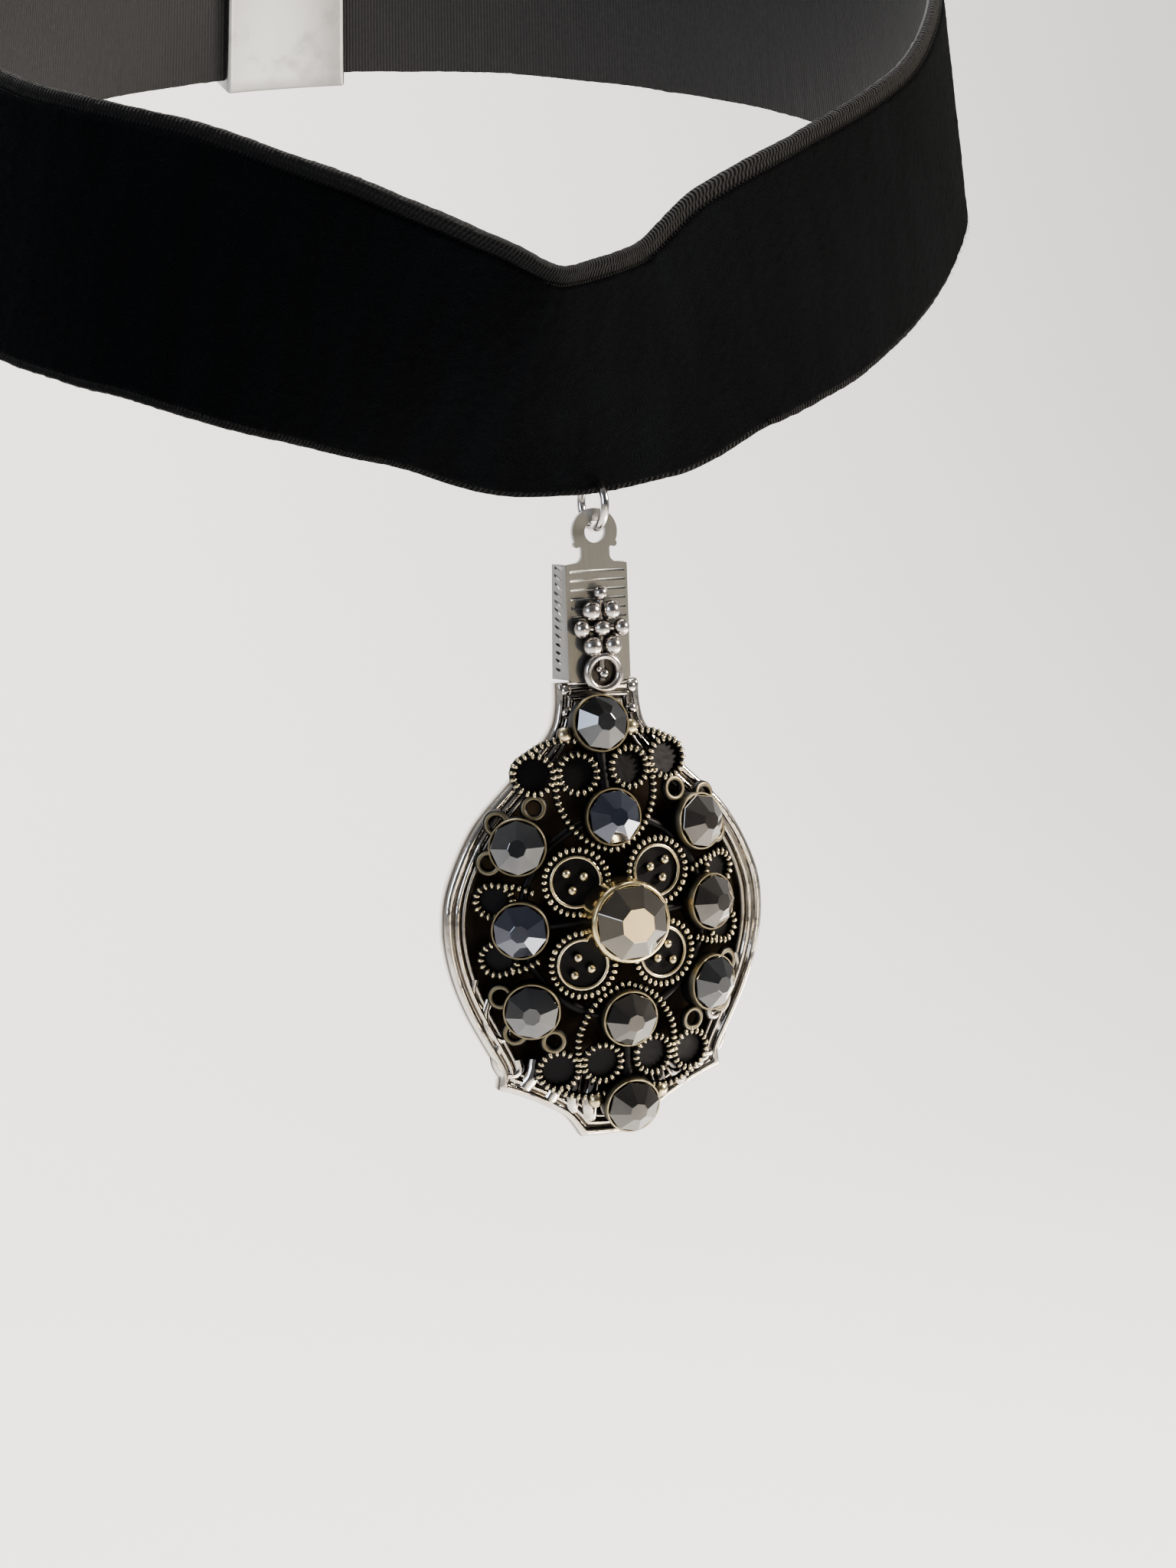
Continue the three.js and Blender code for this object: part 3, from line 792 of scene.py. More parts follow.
@dataclass(frozen=True)
class SelvedgeFinish:
    """Dark grey woven edge with ribs across it."""

    thread: Colour = (0.0046, 0.0048, 0.0053)
    shadow: Colour = (0.0010, 0.0010, 0.0013)
    ribs_per_width: float = 72.0

    def material(self) -> bpy.types.Material:
        """Build the finish."""
        material, shade, shader = new_material("woven_selvedge")
        cloth = shade.add("TexCoord").outputs["UV"]
        slant = shade.add("Mapping", {"Vector": cloth, "Rotation": (0, 0, math.radians(18))})
        weave = {"Vector": slant.outputs[0], "Scale": self.ribs_per_width / 3.2}
        ribs = shade.add("TexWave", weave | {"Distortion": 1.2, "Detail Scale": 3.0}, wave_type="BANDS")
        rows = shade.add("TexWave", {"Vector": cloth, "Scale": 13.0}, wave_type="BANDS", bands_direction="Y")
        thread = shade.maths("MULTIPLY", ribs.outputs["Fac"], shade.maths("ADD", rows.outputs["Fac"], 0.6))
        colour = shade.mix_colour(thread, opaque(self.shadow), opaque(self.thread))
        shade.feed(shader.inputs["Base Color"], colour)
        shade.feed(shader.inputs["Normal"], shade.bump(thread, 0.00022))
        set_values(shader, Roughness=0.75, Sheen_Weight=0.004, Specular_IOR_Level=0.1)
        return material


@dataclass(frozen=True)
class SatinFinish:
    """Smooth woven back of the ribbon."""

    bright: Colour = (0.010, 0.010, 0.012)
    deep: Colour = (0.004, 0.004, 0.005)

    def material(self) -> bpy.types.Material:
        """Build the finish."""
        material, shade, shader = new_material("satin_back")
        cloth = shade.add("TexCoord").outputs["UV"]
        weft = shade.add("TexWave", {"Vector": cloth, "Scale": 22.0, "Distortion": 0.6}, wave_type="BANDS")
        slub = shade.add("TexNoise", {"Vector": cloth, "Scale": 40.0, "Detail": 3.0})
        share = shade.maths("MULTIPLY", weft.outputs["Fac"], slub.outputs[0])
        colour = shade.mix_colour(share, opaque(self.deep), opaque(self.bright))
        shade.feed(shader.inputs["Base Color"], colour)
        shade.feed(shader.inputs["Normal"], shade.bump(share, 0.0001))
        set_values(shader, Roughness=0.6, Specular_IOR_Level=0.16)
        return material


@dataclass(frozen=True)
class StoneFinish:
    """Dark mirror crystal; each stone has a slightly different cast of colour."""

    name: str
    deep: Colour
    pale: Colour
    polish: float = 0.035

    def material(self) -> bpy.types.Material:
        """Build the finish."""
        material, shade, shader = new_material(self.name)
        cloud = shade.add("TexNoise", {"Vector": shade.object_place(), "Scale": 260.0, "Detail": 3.0})
        share = shade.ramp(cloud.outputs[0], [(0.35, 0.0), (0.7, 1.0)])
        shade.feed(shader.inputs["Base Color"], shade.mix_colour(share, opaque(self.deep), opaque(self.pale)))
        set_values(shader, Metallic=0.85, Roughness=self.polish, Coat_Weight=1.0, Coat_Roughness=0.02)
        return material


@dataclass(frozen=True)
class PlasterFinish:
    """Pale matt floor and wall, with a breath of unevenness."""

    bright: Colour = (0.86, 0.85, 0.82)
    shadow: Colour = (0.80, 0.80, 0.80)

    def material(self) -> bpy.types.Material:
        """Build the finish."""
        material, shade, shader = new_material("pale_plaster")
        cloud = shade.add("TexNoise", {"Vector": shade.object_place(), "Scale": 5.0, "Detail": 3.0})
        colour = shade.mix_colour(cloud.outputs[0], opaque(self.shadow), opaque(self.bright))
        shade.feed(shader.inputs["Base Color"], colour)
        set_values(shader, Roughness=0.9, Specular_IOR_Level=0.2)
        return material


POLISHED_SILVER = MetalFinish(
    name="polished_silver_wire",
    bright=(0.56, 0.53, 0.52),
    dark=(0.42, 0.40, 0.39),
    polish=0.1,
    dull=0.2,
    cover=0.4,
    patch_size=500.0,
    relief=Relief.CAST,
    relief_size=900.0,
    relief_depth=3e-6,
)
CLASP_SILVER = MetalFinish(
    name="plain_clasp_silver",
    bright=(0.19, 0.19, 0.19),
    dark=(0.14, 0.14, 0.142),
    polish=0.28,
    dull=0.36,
    cover=0.4,
    patch_size=160.0,
    relief=Relief.SCRATCHED,
    relief_size=1200.0,
    relief_depth=3e-6,
)
# Through the wear mark, the dark colour is oxide and painted shade at the granules' feet, the bright colour
# wear and painted highlights on their tops.
GRANULE_SILVER = MetalFinish(
    name="granule_silver",
    bright=(0.52, 0.48, 0.46),
    dark=(0.035, 0.03, 0.028),
    polish=0.17,
    dull=0.42,
    cover=0.45,
    patch_size=900.0,
    relief=Relief.CAST,
    relief_size=1400.0,
    relief_depth=2e-5,
    crest=WEAR_AND_SHADE,
)
# Through the wear mark, the bright colour is a painted highlight along the engraved lines.
AGED_SILVER = MetalFinish(
    name="aged_stamped_silver",
    bright=(0.76, 0.755, 0.735),
    dark=(0.08, 0.083, 0.09),
    polish=0.18,
    dull=0.36,
    cover=0.5,
    patch_size=650.0,
    relief=Relief.SCRATCHED,
    relief_size=3600.0,
    relief_depth=9e-6,
    crest=WEAR_AND_SHADE,
)
# Through the wear mark, the dark colour is oxide and painted shade on the floor under the filigree, the
# bright colour wear and painted highlights on the crests.
PLATE_SILVER = MetalFinish(
    name="spoon_plate_silver",
    bright=(0.66, 0.61, 0.56),
    dark=(0.030, 0.022, 0.016),
    polish=0.1,
    dull=0.45,
    cover=0.4,
    patch_size=420.0,
    relief=Relief.CAST,
    relief_size=520.0,
    relief_depth=9e-5,
    crest=WEAR_AND_SHADE,
)
# Through the wear mark, the dark colour is oxide and painted shade between and under the wires, the bright
# colour wear and painted highlights on the bead tops.
OXIDISED_BRASS = MetalFinish(
    name="oxidised_brass",
    bright=(0.60, 0.50, 0.31),
    dark=(0.008, 0.0078, 0.0085),
    polish=0.2,
    dull=0.48,
    cover=0.5,
    patch_size=800.0,
    relief=Relief.CAST,
    relief_size=1600.0,
    relief_depth=2e-5,
    crest=WEAR_AND_SHADE,
)
PALE_GOLD = MetalFinish(
    name="pale_gold_bezel",
    bright=(0.66, 0.54, 0.30),
    dark=(0.24, 0.18, 0.09),
    polish=0.2,
    dull=0.36,
    cover=0.35,
    patch_size=500.0,
    relief=Relief.SCRATCHED,
    relief_size=2600.0,
    relief_depth=6e-6,
)


# Velvet ribbon and its clasp


@dataclass(frozen=True)
class Section:
    """One section of the loop: angle from the front, share of the band's rise, and lean in degrees."""

    angle: float
    rise: float
    lean: float


LOOP_SECTIONS = (
    Section(-180, 0.63, 6),
    Section(-135, 0.46, 8),
    Section(-90, 0.38, 11),
    Section(-65, 0.38, 11),
    Section(-45, 0.42, 15),
    Section(-28, 0.3, 2),
    Section(-15, 0.11, -12),
    Section(-6, -0.05, -17),
    Section(6, 0.05, -8),
    Section(15, 0.34, 4),
    Section(28, 0.54, 10),
    Section(45, 0.74, 9),
    Section(65, 0.97, 14),
    Section(90, 0.97, 14),
    Section(135, 0.82, 9),
    Section(180, 0.63, 6),
)


@dataclass
class NeckLoop:
    """The path of the band round the neck, in millimetres."""

    neck_width: float = 104.6
    neck_depth: float = 108.6
    neck_tilt: float = 20.0
    keel: float = 0.8
    keel_half_angle: float = 25.0
    band_rise: float = 15.0
    ribbon_width: float = 25.0

    def value(self, any_angle: float, column: str) -> float:
        """Read one column of the section table by a monotone cubic.

        Args:
            any_angle: Angle from the front, in degrees.
            column: rise or lean.

        Returns:
            The value at that angle.
        """
        angle = (any_angle + 180) % 360 - 180
        rows = LOOP_SECTIONS
        last = len(rows) - 2
        index = min(max(next(i for i, row in enumerate(rows) if row.angle > angle) - 1, 0), last)

        def slope(place: int) -> float:
            """Return how fast the column changes after a row."""
            here = rows[min(max(place, 0), last)]
            after = rows[min(max(place, 0), last) + 1]
            return (getattr(after, column) - getattr(here, column)) / (after.angle - here.angle)

        def tangent(place: int) -> float:
            """Return the change at a row that lets the column pass it without a bump."""
            before, after = slope(place - 1), slope(place)
            return 2 * before * after / (before + after) if before * after > 0 else 0.0

        start, end = rows[index], rows[index + 1]
        span = end.angle - start.angle
        t = (angle - start.angle) / span
        a = 2 * t**3 - 3 * t**2 + 1
        b = t**3 - 2 * t**2 + t
        c = t**3 - t**2
        first, second = getattr(start, column), getattr(end, column)
        return a * first + b * span * tangent(index) + (1 - a) * second + c * span * tangent(index + 1)

    def middle(self, angle: float) -> Vector:
        """Return the middle of the band's width at an angle, before the neck's tilt.

        Args:
            angle: Angle round the neck in degrees, 0 at the front.

        Returns:
            The place in millimetres.
        """
        turn = math.radians(angle)
        keel = self.keel * math.exp(-((angle / self.keel_half_angle) ** 2))
        return Vector(
            (
                self.neck_width / 2 * math.sin(turn),
                -(self.neck_depth / 2 * math.cos(turn) + keel),
                self.band_rise * self.value(angle, "rise"),
            )
        )

    def directions(self, angle: float) -> tuple[Vector, Vector]:
        """Return the directions down across the band and out of its face.

        Args:
            angle: Angle round the neck in degrees, 0 at the front.

        Returns:
            Two unit directions, down and out.
        """
        along = (self.middle(angle + 0.5) - self.middle(angle - 0.5)).normalized()
        outward_flat = Vector((along.y, -along.x, 0)).normalized()
        lean = math.radians(self.value(angle, "lean"))
        down = outward_flat * math.sin(lean) - Vector((0, 0, math.cos(lean)))
        down = (down - along * down.dot(along)).normalized()
        return down, down.cross(along).normalized()

    def worn(self) -> Matrix:
        """Return the neck's tilt together with the change to metres."""
        return Matrix.Scale(MM, 4) @ Matrix.Rotation(math.radians(self.neck_tilt), 4, "X")

    def back_angle(self, length: float) -> float:
        """Return the degrees that a length takes at the back of the neck."""
        return math.degrees(length / (self.neck_width / 2))


@dataclass(frozen=True)
class Row:
    """One line along a band: height above its lower edge, and depth out of its middle."""

    height: float
    depth: float


class Zone(Enum):
    """Parts of the ribbon's surface, by their material's place on the piece."""

    PILE = 0
    SELVEDGE = 1
    BACK = 2


def soft_frames(frames: Sequence[Frame], reach: int = 14) -> list[Frame]:
    """Even out the turns of a row of frames, so that a band's edges don't fold over themselves.

    Args:
        frames: Middle, downward and outward directions along the band.
        reach: How many neighbours on each side share in the average.

    Returns:
        As many frames, their middles unmoved.
    """
    if len(frames) < 4 * reach:
        return list(frames)
    soft, last = [], len(frames) - 1
    for i, (middle, _, _) in enumerate(frames):
        near = frames[max(i - reach, 0) : min(i + reach, last) + 1]
        down = sum((frame[1] for frame in near), Vector()).normalized()
        out = sum((frame[2] for frame in near), Vector())
        soft.append((middle, down, (out - down * out.dot(down)).normalized()))
    return soft


def wrap_band(
    name: str, loop: NeckLoop, rows: Sequence[Row], angles: Sequence[float], zones: Sequence[Zone] = ()
) -> Piece:
    """Wrap a closed section round the loop.

    Args:
        name: Name of the piece.
        loop: Path that it follows.
        rows: The section, all the way round and back to its first row.
        angles: Angles of the cuts along the loop.
        zones: Surface of each strip between two rows, if there are several.

    Returns:
        A tube with closed ends, its UV map in ribbon widths.
    """
    along, round_it = len(angles) - 1, len(rows) - 1
    bpy.ops.object.select_all(action="DESELECT")
    bpy.ops.mesh.primitive_grid_add(x_subdivisions=along, y_subdivisions=round_it, size=1, calc_uvs=True)
    band = newest(name)
    for face in band.data.polygons if zones else ():
        face.material_index = zones[int((face.center.y + 0.5) * round_it)].value
    frames = soft_frames([(loop.middle(angle), *loop.directions(angle)) for angle in angles])
    run = [0.0]
    for (here, _, _), (after, _, _) in zip(frames, frames[1:]):
        run.append(run[-1] + (after - here).length)
    spots = []
    for vertex in band.data.vertices:
        i, j = round((vertex.co.x + 0.5) * along), round((vertex.co.y + 0.5) * round_it)
        centre, down, out = frames[i]
        row = rows[j]
        vertex.co = centre + down * (loop.ribbon_width / 2 - row.height) + out * row.depth
        spots.append((run[i] / loop.ribbon_width, row.height / loop.ribbon_width))
    chart = band.data.uv_layers.active.data
    for corner in band.data.loops:
        chart[corner.index].uv = spots[corner.vertex_index]
    bake_place(band, loop.worn())
    select_only(band)
    bpy.ops.object.mode_set(mode="EDIT")
    bpy.ops.mesh.select_all(action="SELECT")
    bpy.ops.mesh.select_mode(type="VERT")
    bpy.ops.mesh.remove_doubles(threshold=1e-7)
    bpy.ops.mesh.fill_holes(sides=0)
    bpy.ops.mesh.normals_make_consistent(inside=False)
    bpy.ops.object.mode_set(mode="OBJECT")
    return band


@dataclass
class VelvetRibbon:
    """The black velvet ribbon, its woven edges and the fuzz along its pile."""

    loop: NeckLoop
    backing: float = 1.0
    pile: float = 0.4
    top_selvedge: float = 1.5
    low_selvedge: float = 0.8
    end_gap: float = 1.3
    cuts: int = 860
    pile_rows: int = 60
    tuft_relief: float = 0.07
    fuzz_count: int = 9000
    fuzz_length: float = 0.42
    fuzz_width: float = 0.05

    def section(self) -> tuple[list[Row], list[Zone]]:
        """Return the rows round the ribbon and the zone of each strip between them."""
        half, face = self.backing / 2, self.backing / 2 + self.pile
        width, low = self.loop.ribbon_width, self.low_selvedge
        high = width - self.top_selvedge
        edge = [
            Row(0.1, -half),
            Row(0.0, -half * 0.5),
            Row(0.0, half * 0.6),
            Row(0.15, half),
            Row(low, half * 0.9),
        ]
        climb = [Row(low + 0.02, half + self.pile * 0.5), Row(low + 0.15, face - 0.06)]
        step = (high - low - 0.7) / self.pile_rows
        nap = [Row(low + 0.35 + step * i, face) for i in range(self.pile_rows + 1)]
        fall = [Row(high - 0.15, face - 0.06), Row(high - 0.02, half + self.pile * 0.5)]
        woven = [
            Row(high, half * 0.9),
            Row(high + 0.35, half * 1.14),
            Row(high + 0.7, half * 0.9),
            Row(high + 1.05, half * 1.18),
            Row(width - 0.12, half * 0.95),
            Row(width, half * 0.4),
            Row(width, -half * 0.5),
            Row(width - 0.12, -half),
        ]
        inside = [Row(width * share, -half) for share in (0.75, 0.5, 0.25)] + [edge[0]]
        rows = edge + climb + nap + fall + woven + inside
        pile_strips = len(climb) + len(nap) + len(fall)
        zones = [Zone.SELVEDGE] * (len(edge) - 1) + [Zone.PILE] * pile_strips
        zones += [Zone.SELVEDGE] * (len(woven) - 1)
        zones += [Zone.BACK] * (len(rows) - 1 - len(zones))
        return rows, zones

    def build(self) -> Piece:
        """Build the ribbon with its three surfaces."""
        rows, zones = self.section()
        end = 180 - self.loop.back_angle(self.end_gap)
        angles = [end * (2 * i / self.cuts - 1) for i in range(self.cuts + 1)]
        band = wrap_band("velvet_ribbon", self.loop, rows, angles, zones)
        for finish in (PileFinish(), SelvedgeFinish(), SatinFinish()):
            band.data.materials.append(finish.material())
        self.ruffle(band)
        smooth(band, 50)
        return band

    def ruffle(self, band: Piece) -> None:
        """Give the pile its tufts and the edges a slight wander.

        Args:
            band: The ribbon.
        """
        corners = band.data.vertices
        places = np.empty(len(corners) * 3, dtype=np.float32)
        normals = np.empty_like(places)
        corners.foreach_get("co", places)
        corners.foreach_get("normal", normals)
        places, normals = places.reshape(-1, 3), normals.reshape(-1, 3)
        for place, normal in zip(places, normals):
            spot = Vector(place) / MM
            tuft = noise.noise(spot * 1.5) + 0.6 * noise.noise(spot * 3.1)
            place += normal * (tuft * self.tuft_relief * MM)
            place[2] += noise.noise(spot * 0.16) * 0.16 * MM
        corners.foreach_set("co", places.ravel())
        band.data.update()

    def fuzz(self) -> Piece:
        """Build the short fibres that stand out along both edges of the pile."""
        source = random.Random(7)
        face = self.backing / 2 + self.pile
        end = 180 - self.loop.back_angle(self.end_gap + 8)
        corners, triangles = [], []
        for _ in range(self.fuzz_count):
            at_foot = source.random() < 0.6
            angle = source.uniform(-end, end)
            down, out = self.loop.directions(angle)
            rim = self.low_selvedge if at_foot else self.loop.ribbon_width - self.top_selvedge
            height = rim + (0.1 if at_foot else -0.1) + source.uniform(-0.1, 0.25) * (1 if at_foot else -1)
            root = self.loop.middle(angle) + down * (self.loop.ribbon_width / 2 - height)
            root += out * (face - source.uniform(0.02, 0.35))
            along = down.cross(out)
            lean = down * (source.uniform(0.4, 1.2) * (1 if at_foot else -0.7))
            fibre = (out + lean + along * source.uniform(-0.5, 0.5)).normalized() * self.fuzz_length
            fibre *= source.uniform(0.5, 1.3)
            side = along * (self.fuzz_width / 2)
            first = len(corners)
            corners += [root - side, root + side, root + fibre]
            triangles.append((first, first + 1, first + 2))
        mesh = bpy.data.meshes.new("velvet_fuzz")
        mesh.from_pydata(corners, [], triangles)
        fuzz = bpy.data.objects.new("velvet_fuzz", mesh)
        bpy.context.scene.collection.objects.link(fuzz)
        bake_place(fuzz, self.loop.worn())
        mesh.uv_layers.new(name="cloth")
        mesh.materials.append(bpy.data.materials["velvet_pile"])
        return fuzz

    def make(self) -> list[Piece]:
        band, fuzz = self.build(), self.fuzz()
        hand_over(band, Body.CHOKER, Slot.VELVET, "ribbon")
        hand_over(fuzz, Body.CHOKER, Slot.VELVET)
        length = self.length() * MM
        return [band, fuzz]

    def length(self) -> float:
        """Return the ribbon's length along its middle."""
        end = 180 - self.loop.back_angle(self.end_gap)
        spots = [self.loop.middle(end * (2 * i / 360 - 1)) for i in range(361)]
        return sum((after - here).length for here, after in zip(spots, spots[1:]))


@dataclass
class BackClasp:
    """The plain closing behind the neck: a sleeve with rounded edges."""

    loop: NeckLoop
    length: float = 14.0
    wall: float = 0.9
    clearance: float = 0.3
    backing: float = 1.0
    pile: float = 0.4
    cuts: int = 24

    def make(self) -> Piece:
        """Build and dress the clasp."""
        margin = self.clearance + self.wall
        low, high = -margin, self.loop.ribbon_width + margin
        inner, outer = -self.backing / 2 - margin, self.backing / 2 + self.pile + margin
        rows = [Row(low, inner), Row(low, outer)]
        rows += [Row(low + (high - low) * i / 12, outer) for i in range(1, 13)]
        rows += [Row(high, inner)]
        rows += [Row(high - (high - low) * i / 12, inner) for i in range(1, 13)]
        half = self.length / 2
        angles = [180 + self.loop.back_angle(half * (2 * i / self.cuts - 1)) for i in range(self.cuts + 1)]
        clasp = wrap_band("back_clasp", self.loop, rows, angles)
        bevel(clasp, 0.35 * MM, 3, 50)
        smooth(clasp, 40)
        clasp.data.materials.append(CLASP_SILVER.material())
        return hand_over(clasp, Body.CHOKER, Slot.POLISHED_SILVER, "clasp")


# Pendant: x to the viewer's right, y up, z towards the viewer, origin in the middle of the eye


def arc(centre: Point2, radius: float, start: float, end: float, steps: int) -> list[Point2]:
    """Return points on a round arc; the angles are in degrees."""
    turns = [math.radians(start + (end - start) * i / steps) for i in range(steps + 1)]
    return [(centre[0] + radius * math.cos(t), centre[1] + radius * math.sin(t)) for t in turns]


def smooth_run(points: Sequence[Point2], steps: int) -> list[Point2]:
    """Return a Catmull-Rom run through points, with so many steps in each span.

    Args:
        points: Corners in order.
        steps: Steps in each span.

    Returns:
        The points of the run.
    """
    run = []
    for i in range(len(points) - 1):
        a, b, c, d = (Vector(points[min(max(i + k, 0), len(points) - 1)]) for k in (-1, 0, 1, 2))
        for k in range(steps):
            t = k / steps
            place = b * 2 + (c - a) * t + (a * 2 - b * 5 + c * 4 - d) * t**2 + (b * 3 - a - c * 3 + d) * t**3
            run.append(tuple(place * 0.5))
    run.append(tuple(points[-1]))
    return run


def even_run(outline: Sequence[Point2], count: int) -> list[Vector]:
    """Space a closed outline's points evenly.

    Args:
        outline: Corners in order.
        count: How many points to return.

    Returns:
        The evenly spaced points.
    """
    corners = np.array([*outline, outline[0]])
    run = np.concatenate([[0], np.cumsum(np.linalg.norm(np.diff(corners, axis=0), axis=1))])
    spots = np.linspace(0, run[-1], count, endpoint=False)
    return [Vector((np.interp(t, run, corners[:, 0]), np.interp(t, run, corners[:, 1]))) for t in spots]


def softened(points: Sequence[Vector], reach: int) -> list[Vector]:
    """Round off a closed run's corners by averaging each point with its neighbours.

    Args:
        points: The closed run.
        reach: How many neighbours count on each side.

    Returns:
        As many points as before.
    """
    count = len(points)
    weights = [(k, math.exp(-2 * (k / reach) ** 2)) for k in range(-reach, reach + 1)]
    total = sum(weight for _, weight in weights)
    soft = []
    for i in range(count):
        soft.append(sum((points[(i + k) % count] * w for k, w in weights), Vector((0, 0))) / total)
    return soft


def inward_normals(points: Sequence[Vector]) -> list[Vector]:
    """Return the unit directions into a closed counter-clockwise run."""
    count = len(points)
    runs = [points[(i + 1) % count] - points[i - 1] for i in range(count)]
    return [Vector((-run.y, run.x)).normalized() for run in runs]


@dataclass
class PendantAxes:
    """Where the pendant hangs, read from the frame."""

    head_diameter: float = 4.3
    tab_thickness: float = 0.6

    def eye(self) -> Vector:
        """Return the middle of the hanger's eye, in metres."""
        low, high = (Vector(corner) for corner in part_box("hanger_tab"))
        front = low.y + self.tab_thickness / 2 * MM
        return Vector(((low.x + high.x) / 2, front, high.z - self.head_diameter / 2 * MM))

    def place(self, across: float = 0.0, along: float = 0.0, out: float = 0.0, turn: float = 0.0) -> Matrix:
        """Return the matrix that hangs a shape on the pendant.

        Args:
            across: Shift to the viewer's right.
            along: Shift upwards.
            out: Shift towards the viewer.
            turn: Turn in the pendant's face, in degrees.

        Returns:
            The place in the frame, with the change to metres.
        """
        stand = Matrix.Rotation(math.pi / 2, 4, "X") @ Matrix.Scale(MM, 4)
        shift = Matrix.Translation((across, along, out)) @ Matrix.Rotation(math.radians(turn), 4, "Z")
        return Matrix.Translation(self.eye()) @ stand @ shift


@dataclass
class JumpRing:
    """The round wire ring between ribbon and hanger."""

    wire: float = 0.8
    yaw: float = 8.0
    joint_width: float = 0.07
    joint_place: float = 62.0

    def make(self) -> Piece:
        """Build the ring with the fine joint of its two ends, and dress it."""
        low, high = (Vector(corner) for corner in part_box("jump_ring"))
        radius = (high.z - low.z) / MM / 2 - self.wire / 2
        ring = add_ring("silver_jump_ring", radius, self.wire, 120, 24)
        saw = add_box("saw_cut", (self.wire * 2, self.joint_width, self.wire * 2), (radius, 0, 0))
        bake_place(saw, Matrix.Rotation(math.radians(self.joint_place), 4, "Z"))
        cut(ring, saw)
        bevel(ring, 0.03, 2, 60)
        smooth(ring, 40)
        upright = Matrix.Rotation(math.radians(self.yaw), 4, "Z") @ Matrix.Rotation(math.pi / 2, 4, "Y")
        bake_place(ring, Matrix.Translation((low + high) / 2) @ Matrix.Scale(MM, 4) @ upright)
        ring.data.materials.append(POLISHED_SILVER.material())
        return hand_over(ring, Body.RING, Slot.POLISHED_SILVER, "jump_ring")


